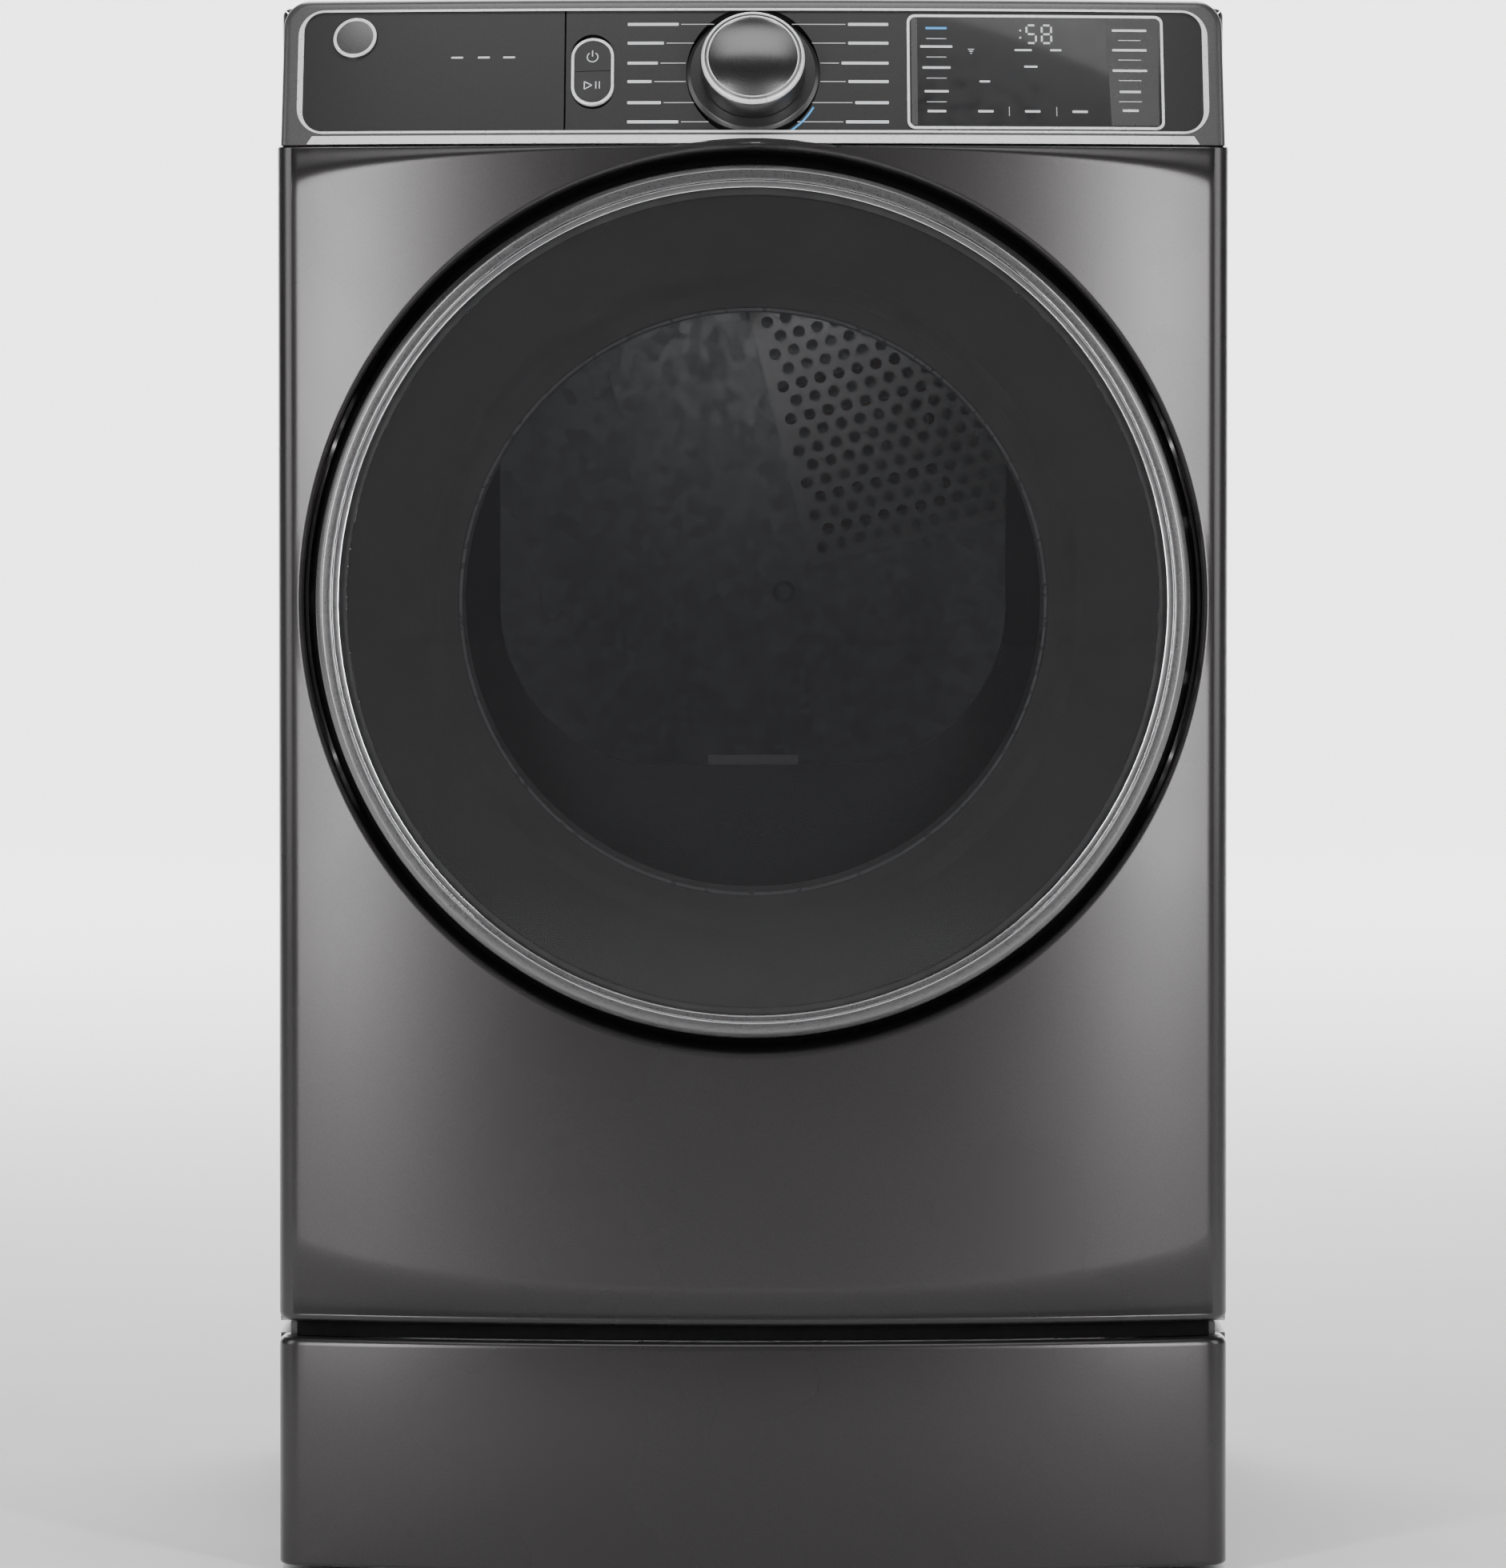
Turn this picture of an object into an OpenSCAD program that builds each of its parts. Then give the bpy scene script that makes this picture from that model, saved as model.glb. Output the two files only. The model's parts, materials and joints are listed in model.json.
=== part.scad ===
// Front-loading clothes dryer on a laundry riser.
// X is to the right, the front faces -Y and Z is up.
// The origin is on the floor, under the middle of the bounding box.

/* [Overall] */
// Width of the cabinet
cab_w = 711; // [690:1:860]
// Depth from the door ring to the end of the exhaust collar
cab_d = 873; // [780:1:1060]
// Height from the floor to the top of the console
cab_h = 1180; // [1150:1:1420]
// Height of the riser, with its feet
riser_h = 178; // [120:1:220]
// Gap between the riser and the dryer
riser_gap = 9; // [4:1:20]
// Thickness of the cabinet sheet
sheet = 1.5; // [1:0.1:2.5]

/* [Front panel] */
// Radius of the bow of the front in plan
bow_r = 1577; // [1200:1:2400]
// Radius of the two front corners in plan
corner_r = 20; // [12:1:24]
// Length of the straight return behind each front corner
return_l = 14; // [8:1:30]
// Radius of the dish round the door
dish_r = 335; // [330:1:340]
// Depth of the dish at the middle of the bow
dish_deep = 44; // [40:1:52]
// Radius of the loading opening in the dish floor
mouth_r = 275; // [272:1:280]

/* [Door] */
// Radius of the door ring
ring_r = 324.5; // [318:0.5:326]
// Width of the face of the door ring
ring_w = 17; // [12:0.5:18]
// Depth of the door ring from front to back
ring_deep = 39.5; // [36:0.5:40]
// Distance that the ring stands in front of the panel at the middle
ring_proud = 6.5; // [4:0.5:10]
// Radius of the outer door glass
glass_r = 302; // [290:0.5:304]
// Thickness of the outer door glass
glass_t = 4; // [3:0.5:5]
// Radius of the inner window
window_r = 216; // [180:1:222]
// Distance from the middle of the door to the hinge axis
hinge_x = 306; // [300:1:308]
// Distance from the front of the ring to the hinge axis
hinge_in = 20.5; // [19:0.5:22]
// Radius of the hinge pin
hinge_pin_r = 3; // [2.5:0.1:3.5]
// Half of the distance between the two hinge ears
hinge_span = 56; // [40:1:80]

/* [Console] */
// Height of the console
con_rise = 110; // [100:1:125]
// Angle of the console face back from upright
con_tilt = 26; // [20:1:30]
// Depth of the console top, front to back
con_top_d = 76; // [60:1:110]
// Radius of the knob ring
knob_r = 39; // [30:1:42]
// Height of the knob over its skirt
knob_h = 24; // [16:1:26]
// Radius of the fixed skirt under the knob
skirt_r = 49.5; // [45:0.5:52]
// Width of the power and start buttons
button_w = 27.4; // [20:0.1:34]
// Height of the two buttons together
button_h = 52; // [44:0.5:70]
// Travel of each button
button_travel = 1.5; // [0.8:0.1:2]
// Width of the display
display_w = 192.5; // [150:0.5:196]
// Height of the display
display_h = 96.7; // [80:0.1:98]

/* [Drum] */
// Outer radius of the drum
drum_r = 325; // [318:1:336]
// Distance from the door axis down to the drum axis
drum_drop = 10; // [0:1:20]
// Radius of the front hole of the drum
drum_hole_r = 300; // [296:1:306]
// Radius of each drum roller
roller_r = 35; // [28:1:40]
// Width of each drum roller
roller_w = 22; // [16:1:28]
// Angle of the rollers from straight down
roller_angle = 35; // [28:1:40]
// Radius of the roller axles
axle_r = 6; // [4:0.5:9]
// Height of the three baffles
baffle_h = 90; // [60:1:110]

/* [Drive and air path] */
// Distance of the motor axis to the left of the middle
motor_x = 70; // [66:1:76]
// Radius of the motor
motor_r = 60; // [50:1:64]
// Radius of the motor shaft
shaft_r = 8; // [6:0.5:9]
// Radius of the motor pulley
pulley_r = 10.5; // [9.5:0.5:14]
// Radius of the idler pulley
idler_r = 22; // [16:1:26]
// Outer radius of the blower housing
blower_r = 78; // [70:1:84]
// Radius of the blower wheel
wheel_r = 64; // [55:1:66]
// Outer radius of the exhaust duct
duct_r = 50.5; // [45:0.5:52]
// Distance of the exhaust duct to the right of the middle
duct_x = 75; // [70:1:90]
// Length of the exhaust collar behind the rear panel
collar_l = 40; // [25:1:60]
// Width of the lint filter
filter_w = 220; // [180:1:230]
// Height of the lint filter
filter_h = 150; // [120:1:155]
// Radius of the bore for the power cord
gland_r = 14.3; // [11:0.1:16]
// Radius of the water inlet spigot
spigot_r = 13.2; // [12:0.1:14]

/* [Hidden] */
$fn = 96;
bow_fn = 720;
e = 0.01;
rest_gap = 0.3;        // clearance between pieces that move past each other
seat_gap = 0.04;       // clearance between pieces that are fixed to each other
run_gap = 0.05;        // radial clearance of a shaft in its bore

skirt_out = 2;
knob_face_r = knob_r - 3;
knob_u = 59.4;
knob_out = (knob_h + skirt_out + rest_gap) * cos(con_tilt) - (knob_u - knob_face_r) * sin(con_tilt);
y_front = -cab_d / 2 + max(0, knob_out - ring_proud);
y_apex = y_front + ring_proud;
y_rear = cab_d / 2 - collar_l;
corner_x = cab_w / 2 - corner_r;
function corner_of(r) = y_apex + r - sqrt(pow(r - corner_r, 2) - corner_x * corner_x);
corner_y = corner_of(bow_r);
bow_cy = y_apex + bow_r;
seam_y = corner_y + return_l;

body_z = riser_h + riser_gap;
base_t = 2;
base_z = body_z + base_t;
con_z = cab_h - con_rise;
panel_z0 = body_z + 3;
panel_z1 = con_z - 0.8;
top_z0 = cab_h - 22;
top_z1 = cab_h - 4;

door_z = con_z - dish_r - 5;
dish_y = y_apex + dish_deep;
ring_back = y_front + ring_deep;
glass_y0 = y_front + 4.5;
glass_y1 = glass_y0 + glass_t;
hinge_y = y_front + hinge_in;
ear_t = 8;
ear_w = 10;
knuckle_r = 7;
swing_r = dish_y - hinge_y + 4;
gasket_r0 = hinge_x - 22;
gasket_r1 = hinge_x - 12;
bowl_r0 = mouth_r - 13;
bowl_r1 = window_r + 22;
window_y1 = dish_y + 36;
strike_x = gasket_r1 + 9;

fb_y = dish_y + 41;
fb_t = 4;
bulk_x = cab_w / 2 - sheet - 2.8;
drum_z = door_z - drum_drop;
drum_y0 = fb_y + 35;
rb_y = y_rear - 51.5;
rb_t = 2;
drum_y1 = rb_y - 5;
drum_t = 1;
lip_r = drum_hole_r - 4;
rear_lip_r = drum_r - drum_t - 6;
mouth_w = 382;
mouth_h = 345;
mouth_round = 120;
mouth_z0 = door_z - 125;
roller_d = drum_r + roller_r + rest_gap;
roller_x = roller_d * sin(roller_angle);
roller_z = drum_z - roller_d * cos(roller_angle);
roller_rear_y = drum_y1 - 18 - roller_w;

motor_z = base_z + blower_r;
blower_y0 = drum_y0 + 70;
blower_d = 60;
blower_y1 = blower_y0 + blower_d;
motor_y0 = blower_y1 + 30;
motor_l = 170;
motor_y1 = motor_y0 + motor_l;
pulley_y0 = motor_y1 + 14;
pulley_w = 24;
belt_w = 8;
belt_t = 2.4;
belt_y0 = pulley_y0 + (pulley_w - belt_w) / 2;
shaft_y1 = pulley_y0 + pulley_w + 4;
duct_t = 1.2;
duct_box_y0 = fb_y + fb_t;
duct_box_y1 = drum_y0 - 6;
duct_box_w = filter_w + 24;
duct_box_z1 = mouth_z0 - 3;
filter_y = duct_box_y0 + 4;
filter_d = 14;
filter_z1 = mouth_z0 - 2;
filter_z0 = filter_z1 - filter_h;

foot_x = cab_w / 2 - 60;
foot_y = cab_d / 2 - 136;
inlet_r = 45;
back_tilt = -14;
grille_x = 52;
boss_x = 26;
rib_x0 = -73;
rib_x1 = -7;
grille_z = 8;
valve_x = -260;
valve_z = top_z0 - 90;
nozzle_x = -150;
nozzle_z = drum_z + 230;

// Belt run between the drum and the motor pulley
belt_a = [0, drum_z];
belt_b = [-motor_x, motor_z];
function tangent(ra, rb, side) =
    let (v = belt_b - belt_a, a = atan2(v[1], v[0]) + side * acos((ra - rb) / norm(v)))
    [cos(a), sin(a)];
belt_side = tangent(drum_r + belt_t, pulley_r + belt_t, -1);
idler_reach = drum_r * 0.35;
belt_dir = [-belt_side[1], belt_side[0]] * sign((belt_a - belt_b) * [-belt_side[1], belt_side[0]]);
idler_at = belt_b + belt_side * (pulley_r + belt_t + rest_gap * 2 + idler_r) + belt_dir * idler_reach;
idler_pivot = idler_at + belt_side * 62 - belt_dir * 40;

// Console frame: X along the bow, Y into the console and Z up the tilted face
con_u = con_rise / cos(con_tilt);
face_u0 = 9.3;
face_u1 = 114.1;
frame_x = cab_w / 2 - 14.5;
split_x = -140;
button_x = -119.5;
button_u = 60.5;
display_x = 211;
display_u = 60.8;
badge_x = -298;
badge_u = 90;
fascia_in = 1;
fascia_t = 2;
con_wall = 5;
con_back_y = y_apex + con_rise * tan(con_tilt) + con_top_d;
stem_r = 4;
stem_end = 14;
button_back = 8;
// Seen square to the tilted face, the bow of the console is flatter than in plan
face_r = bow_r / cos(con_tilt);
function bow_at(x) = face_r - sqrt(face_r * face_r - x * x);
function yaw_at(x) = asin(x / face_r);
// Height over the foot of the console of a place u up the face
function up(u) = u * cos(con_tilt);

// ---------- shared shapes ----------

// Cylinder along Y
module y_rod(r, y0, y1, x = 0, z = 0) {
    translate([x, y0, z]) rotate([-90, 0, 0]) cylinder(r = r, h = y1 - y0);
}

// Tube along Y
module y_tube(r_in, r_out, y0, y1, x = 0, z = 0) {
    difference() {
        y_rod(r_out, y0, y1, x, z);
        y_rod(r_in, y0 - 1, y1 + 1, x, z);
    }
}

// Solid turned about the door axis or another axis along Y; points are [radius, y]
module y_turned(points, x = 0, z = door_z) {
    translate([x, 0, z]) rotate([-90, 0, 0]) rotate_extrude($fn = 180) polygon(points);
}

// Block between two corners
module block(x0, x1, y0, y1, z0, z1) {
    translate([x0, y0, z0]) cube([x1 - x0, y1 - y0, z1 - z0]);
}

// Flat shape drawn in X and Z, with its thickness from y0 to y1
module upright(y0, y1) {
    translate([0, y1, 0]) rotate([90, 0, 0]) linear_extrude(y1 - y0) children();
}

module mirrored_x() {
    children();
    mirror([1, 0, 0]) children();
}

// Rectangle with round corners, centred
module round_rect(w, h, r) {
    square([w - 2 * r, h], center = true);
    square([w, h - 2 * r], center = true);
    for (sx = [-1, 1], sz = [-1, 1])
        translate([sx * (w / 2 - r), sz * (h / 2 - r)]) circle(r);
}

// Open tray: a floor with four walls
module tray(w, y0, y1, z0, h, t) {
    difference() {
        block(-w / 2, w / 2, y0, y1, z0, z0 + h);
        block(-w / 2 + t, w / 2 - t, y0 + t, y1 - t, z0 + t, z0 + h + 1);
    }
}

// Round rod through a list of points
module bent_rod(points, r) {
    for (i = [0 : len(points) - 2]) {
        v = points[i + 1] - points[i];
        translate(points[i])
            rotate([0, acos(v[2] / norm(v)), atan2(v[1], v[0])])
                cylinder(r = r, h = norm(v), $fn = 24);
    }
    for (i = [1 : len(points) - 2])
        translate(points[i]) rotate([37, 23, 0]) sphere(r * 1.12, $fn = 24);
}

// Plan of the bowed front of radius r, moved in by inset and cut off at the given back
module bow_plan(inset, back, r = bow_r) {
    reach = corner_r + 8;
    cy = corner_of(r);
    bow = [corner_x, cy - y_apex - r] / (r - corner_r);
    tip = [corner_x, cy] + bow * reach;
    difference() {
        intersection() {
            translate([0, y_apex + r]) circle(r - inset, $fn = bow_fn);
            translate([-cab_w / 2 + inset, y_apex]) square([cab_w - 2 * inset, back - y_apex]);
        }
        for (s = [-1, 1]) difference() {
            polygon([[s * corner_x, cy], [s * tip[0], tip[1]],
                [s * (tip[0] + reach * 2), tip[1]], [s * (cab_w / 2 + reach), cy]]);
            translate([s * corner_x, cy]) circle(corner_r - inset);
        }
    }
}

// Bowed sheet from z0 to z1, with its front face moved in by inset
module bow_sheet(inset, t, back, z0, z1) {
    translate([0, 0, z0]) linear_extrude(z1 - z0) difference() {
        bow_plan(inset, back);
        bow_plan(inset + t, back + 1);
    }
}

// ---------- cabinet ----------

module side_panel(s) {
    flange = 14;
    color("#3f3c3d") mirror([s < 0 ? 1 : 0, 0, 0]) {
        x1 = cab_w / 2;
        block(x1 - sheet, x1, seam_y + 0.4, y_rear - sheet, base_z, con_z);
        block(x1 - sheet, x1, con_back_y, y_rear - sheet, con_z - e, top_z0);
        block(x1 - flange, x1 - sheet + e, seam_y + 0.4, seam_y + 0.4 + sheet, base_z, con_z - 4);
        block(x1 - flange, x1 - sheet + e, y_rear - sheet * 2, y_rear - sheet, base_z, top_z0);
    }
}

module rear_panel() {
    color("#8d8f90") difference() {
        block(-cab_w / 2, cab_w / 2, y_rear - sheet, y_rear, base_z, top_z0);
        y_rod(duct_r + 1.5, y_rear - 5, y_rear + 1, duct_x, motor_z);
        block(150, 260, y_rear - 5, y_rear + 1, top_z0 - 150, top_z0 - 60);
        y_rod(spigot_r + 2, y_rear - 5, y_rear + 1, -260, top_z0 - 90);
        for (i = [0 : 11], s = [-1, 1])
            block(s * 190 - 60, s * 190 + 60, y_rear - 5, y_rear + 1,
                drum_z - 80 + i * 16, drum_z - 74 + i * 16);
    }
}

module base_pan() {
    wall = 20;
    color("#6f7274") difference() {
        union() {
            idler_bracket();
            tray(cab_w - 2 * sheet - 1, seam_y + 3, y_rear - sheet * 2 - 0.5, body_z, wall, base_t);
            block(-cab_w / 2, cab_w / 2, seam_y + 0.4, y_rear, body_z, base_z);
        }
        for (x = [-1, 1], y = [-1, 1])
            translate([x * foot_x, y * foot_y, body_z - 1]) cylinder(r = 5.2, h = base_t + 2);
    }
}

module top_panel() {
    edge = 6;
    color("#403d3e") difference() {
        intersection() {
            block(-cab_w / 2, cab_w / 2, con_back_y, y_rear, top_z0, top_z1);
            upright(con_back_y - 1, y_rear + 1)
                translate([0, top_z1 - 100]) round_rect(cab_w, 200, edge);
        }
        block(-cab_w / 2 + sheet, cab_w / 2 - sheet, con_back_y - 1, y_rear - sheet,
            top_z0 - 1, top_z1 - sheet);
    }
}

// Bowed panel with a dish pressed in round the door and the loading opening in the dish floor
module front_panel() {
    lap = 16;
    color("#494546") difference() {
        union() {
            difference() {
                bow_sheet(0, sheet, seam_y, panel_z0, panel_z1);
                y_rod(dish_r, y_apex - 1, seam_y + 1, 0, door_z);
            }
            translate([0, 0, panel_z0]) linear_extrude(sheet) difference() {
                bow_plan(0, seam_y);
                bow_plan(lap, seam_y + 1);
            }
            intersection() {
                translate([0, 0, door_z - dish_r - 4]) linear_extrude(2 * dish_r + 8)
                    bow_plan(0, dish_y + 20);
                union() {
                    y_tube(dish_r, dish_r + sheet, y_apex - 1, dish_y + sheet, 0, door_z);
                    y_tube(mouth_r, dish_r + sheet, dish_y, dish_y + sheet, 0, door_z);
                }
            }
        }
        block(-strike_x - 8, -strike_x + 8, dish_y - 5, dish_y + 5, door_z - 12, door_z + 12);
    }
}

module cabinet_screws() {
    color("#b9bbbd") {
        for (x = [-1, 1], z = [base_z + 60, drum_z, top_z0 - 40])
            y_turned([[0, y_rear], [4.5, y_rear], [4.5, y_rear + 1.6], [3, y_rear + 2.8],
                [0, y_rear + 2.8]], x * (cab_w / 2 - 9), z);
        for (x = [-1, 1], y = [-1, 1])
            translate([x * foot_x, y * foot_y, 0]) {
                translate([0, 0, body_z - riser_gap - 8]) cylinder(r = 4, h = riser_gap + 8 + base_t);
                translate([0, 0, base_z]) cylinder(r = 9, h = 6, $fn = 6);
            }
    }
}

// ---------- bulkheads, drum and seals ----------

module mouth_shape(grow) {
    translate([0, mouth_z0 + mouth_h / 2])
        round_rect(mouth_w + 2 * grow, mouth_h + 2 * grow, mouth_round + grow);
}

module front_bulkhead() {
    throat_t = 3;
    color("#3a3b3d") difference() {
        union() {
            block(-bulk_x, bulk_x, fb_y, fb_y + fb_t, base_z, con_z - 6);
            y_tube(mouth_r, mouth_r + throat_t, dish_y + sheet, fb_y + e, 0, door_z);
            upright(fb_y, drum_y0 - 6) mouth_shape(3);
            y_tube(lip_r - 4, lip_r, fb_y, drum_y0 + 5, 0, drum_z);
        }
        upright(fb_y - 1, drum_y0 + 1) mouth_shape(0);
        block(-duct_box_w / 2 - 1, duct_box_w / 2 + 1, duct_box_y0, duct_box_y1 + 1,
            base_z, duct_box_z1 + 1);
        block(-filter_w / 2 - 1, filter_w / 2 + 1, filter_y - 1, filter_y + filter_d + 1,
            filter_z0 - 1, mouth_z0 + 40);
    }
}

module rear_bulkhead() {
    color("#77797b") difference() {
        union() {
            block(-bulk_x, bulk_x, rb_y, rb_y + rb_t, base_z, top_z0 - 90);
            y_tube(rear_lip_r - 3, rear_lip_r, drum_y1 - 14, rb_y + e, 0, drum_z);
            y_turned([[0, rb_y - 5], [6, rb_y - 5], [9.5, rb_y - 2.5], [9.5, rb_y + e], [0, rb_y + e]],
                boss_x, drum_z);
            rotate_about(drum_z, back_tilt)
                block(rib_x0, rib_x1, rb_y - 6, rb_y + e, drum_z - 200, drum_z + 230);
        }
        grille_zone(rb_y - 1, rb_y + rb_t + 1, 4);
        y_rod(duct_r + 1.5, rb_y - 1, rb_y + rb_t + 1, duct_x, motor_z);
        rotate_about(drum_z, back_tilt)
            block(rib_x0 + 2, rib_x1 - 2, rb_y - 4, rb_y + rb_t + 1, drum_z - 198, drum_z + 228);
        y_rod(8, rb_y - 1, rb_y + rb_t + 1, nozzle_x, nozzle_z);
        for (s = [-1, 1]) y_rod(axle_r, rb_y - 1, rb_y + rb_t + 1, s * roller_x, roller_z);
    }
}

module rotate_about(z, a) {
    translate([0, 0, z]) rotate([0, a, 0]) translate([0, 0, -z]) children();
}

// Tilted corner zone of the hot-air inlet, shrunk by the given edge
module grille_zone(y0, y1, edge) {
    intersection() {
        y_rod(rear_lip_r - 16 - edge, y0, y1, 0, drum_z);
        rotate_about(drum_z, back_tilt)
            block(grille_x + edge, 400, y0, y1, drum_z + grille_z + edge, drum_z + 400);
    }
}

module inlet_grille() {
    pitch = 16;
    hole = 5;
    color("#6a6c6e") difference() {
        grille_zone(rb_y - 2, rb_y, 1);
        rotate_about(drum_z, back_tilt) for (i = [0 : 14], j = [0 : 19]) {
            x = grille_x + 14 + i * pitch + (j % 2) * pitch / 2;
            z = grille_z + 14 + j * pitch * sqrt(3) / 2;
            if (norm([x, z]) < rear_lip_r - 16 - 10)
                y_rod(hole, rb_y - 3, rb_y + 1, x, drum_z + z, $fn = 24);
        }
    }
}

module drum_seals() {
    color("#8c877c") {
        y_tube(lip_r, drum_hole_r - rest_gap, drum_y0 - 4, drum_y0 + 5, 0, drum_z);
        y_tube(rear_lip_r, drum_r - drum_t - rest_gap, drum_y1 - 12, drum_y1 - 2, 0, drum_z);
    }
}

// Low-friction pads that carry the front rim of the drum
module drum_glides() {
    color("#ece7da") for (a = [-roller_angle, roller_angle])
        intersection() {
            y_tube(drum_r + rest_gap, drum_r + rest_gap + 4, drum_y0 + 2, drum_y0 + 24, 0, drum_z);
            rotate_about(drum_z, a) block(-30, 30, drum_y0, drum_y0 + 30, drum_z - 400, drum_z);
        }
    color("#77797b") for (a = [-roller_angle, roller_angle])
        intersection() {
            y_tube(drum_r + rest_gap + 4, drum_r + rest_gap + 7, fb_y + fb_t, drum_y0 + 24, 0, drum_z);
            rotate_about(drum_z, a) block(-30, 30, fb_y, drum_y0 + 30, drum_z - 400, drum_z);
        }
}

module drum() {
    baffle_w = 60;
    color("#9b9da0") {
        y_turned([[drum_hole_r, drum_y0], [drum_r, drum_y0], [drum_r, drum_y1],
            [drum_r - drum_t, drum_y1], [drum_r - drum_t, drum_y0 + drum_t],
            [drum_hole_r, drum_y0 + drum_t]], 0, drum_z);
        for (i = [0 : 2]) rotate_about(drum_z, 60 + i * 120)
            translate([0, 0, drum_z]) intersection() {
                difference() {
                    y_rod(drum_r - drum_t - 0.1, drum_y0 + 20, drum_y1 - 30);
                    y_rod(drum_r - drum_t - baffle_h, drum_y0, drum_y1);
                }
                upright(drum_y0 + 20, drum_y1 - 30) polygon([
                    [-baffle_w / 2, -drum_r], [-baffle_w / 6, -drum_r + baffle_h],
                    [baffle_w / 6, -drum_r + baffle_h], [baffle_w / 2, -drum_r]]);
            }
    }
}

module drum_roller(s) {
    hub = 12;
    x = s * roller_x;
    color("#2b2b2c") y_turned([[axle_r + run_gap, roller_rear_y], [hub, roller_rear_y],
        [hub + 3, roller_rear_y + 4], [roller_r - 8, roller_rear_y + 4], [roller_r - 6, roller_rear_y],
        [roller_r, roller_rear_y], [roller_r, roller_rear_y + roller_w],
        [roller_r - 6, roller_rear_y + roller_w], [roller_r - 8, roller_rear_y + roller_w - 4],
        [hub + 3, roller_rear_y + roller_w - 4], [hub, roller_rear_y + roller_w],
        [axle_r + run_gap, roller_rear_y + roller_w]], x, roller_z);
}

module roller_axles() {
    color("#c4c6c8") for (s = [-1, 1]) {
        y_rod(axle_r, roller_rear_y - 6, rb_y + rb_t + 6, s * roller_x, roller_z);
        y_tube(axle_r, axle_r + 4, roller_rear_y - 4, roller_rear_y - rest_gap, s * roller_x, roller_z);
        y_tube(axle_r, axle_r + 5, roller_rear_y + roller_w + rest_gap, rb_y, s * roller_x, roller_z);
    }
}

// ---------- drive ----------

// Points of an arc from one angle to another; its chords stay outside the radius
function arc(mid, r, from, to, n) =
    [for (i = [0 : n]) let (a = from + (to - from) * i / n, k = r / cos((to - from) / n / 2))
        mid + k * [cos(a), sin(a)]];

// Outline of a belt that wraps the drum and the motor pulley
module wrap(ra, rb) {
    mid = atan2(belt_b[1] - belt_a[1], belt_b[0] - belt_a[0]);
    half = acos((ra - rb) / norm(belt_b - belt_a));
    polygon(concat(arc(belt_a, ra, mid + half, mid - half + 360, 90),
        arc(belt_b, rb, mid - half, mid + half, 12)));
}

module drive_belt() {
    color("#1d1d1e") upright(belt_y0, belt_y0 + belt_w) difference() {
        wrap(drum_r + rest_gap + belt_t, pulley_r + rest_gap + belt_t);
        wrap(drum_r + rest_gap, pulley_r + rest_gap);
    }
}

module drive_motor() {
    foot_w = 96;
    color("#5c6063") difference() {
        union() {
            y_rod(motor_r, motor_y0 + 18, motor_y1 - 18, -motor_x, motor_z);
            y_rod(motor_r * 0.82, motor_y0, motor_y1, -motor_x, motor_z);
            for (y = [motor_y0 + 24, motor_y1 - 40])
                block(-motor_x - foot_w / 2, -motor_x + foot_w / 2, y, y + 16, base_z, motor_z - 20);
            block(-motor_x - foot_w / 2, -motor_x + foot_w / 2, motor_y0 + 24, motor_y1 - 24,
                base_z, base_z + 3);
        }
        y_rod(shaft_r + run_gap, motor_y0 - 1, motor_y1 + 1, -motor_x, motor_z);
    }
}

module motor_rotor() {
    rim = pulley_r + 5;
    color("#c9cbcd") y_turned([[0, blower_y0 + 8], [shaft_r, blower_y0 + 8], [shaft_r, pulley_y0],
        [rim, pulley_y0], [rim, pulley_y0 + 3], [pulley_r, pulley_y0 + 6],
        [pulley_r, pulley_y0 + pulley_w - 6], [rim, pulley_y0 + pulley_w - 3],
        [rim, pulley_y0 + pulley_w], [shaft_r, pulley_y0 + pulley_w], [shaft_r, shaft_y1],
        [0, shaft_y1]], -motor_x, motor_z);
}

module blower_wheel() {
    vanes = 20;
    color("#d8d6cf") {
        y_turned([[shaft_r, blower_y0 + 9], [20, blower_y0 + 30], [20, blower_y1 - 12],
            [wheel_r, blower_y1 - 12], [wheel_r, blower_y1 - 8], [shaft_r, blower_y1 - 8]],
            -motor_x, motor_z);
        y_tube(wheel_r - 8, wheel_r, blower_y0 + 8, blower_y0 + 11, -motor_x, motor_z);
        for (i = [0 : vanes - 1])
            translate([-motor_x, 0, motor_z]) rotate([0, i * 360 / vanes, 0])
                block(-1, 1, blower_y0 + 9, blower_y1 - 10, wheel_r - 16, wheel_r - 1);
    }
}

module idler_bracket() {
    y0 = belt_y0 + belt_w + 9.3;
    x = idler_pivot[0];
    z = idler_pivot[1];
    block(x - 16, x + 16, y0, y0 + 4, body_z + e, z);
    y_rod(16, y0, y0 + 4, x, z);
    y_rod(5, y0 - 5, y0 + 4, x, z);
    block(x - 16, x + 36, y0, y0 + 30, body_z + e, base_z + 2);
}

module idler_arm() {
    y0 = belt_y0 + belt_w + 4;
    v = idler_at - idler_pivot;
    color("#9fa2a5") difference() {
        union() {
            y_rod(13, y0, y0 + 5, idler_pivot[0], idler_pivot[1]);
            y_rod(9, y0, y0 + 5, idler_at[0], idler_at[1]);
            translate([idler_pivot[0], y0, idler_pivot[1]]) rotate([0, -atan2(v[1], v[0]), 0])
                translate([0, 0, -7]) cube([norm(v), 5, 14]);
            y_rod(4, belt_y0 - 3, y0 + e, idler_at[0], idler_at[1]);
        }
        y_rod(5 + run_gap, y0 - 1, y0 + 6, idler_pivot[0], idler_pivot[1]);
    }
}

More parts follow.
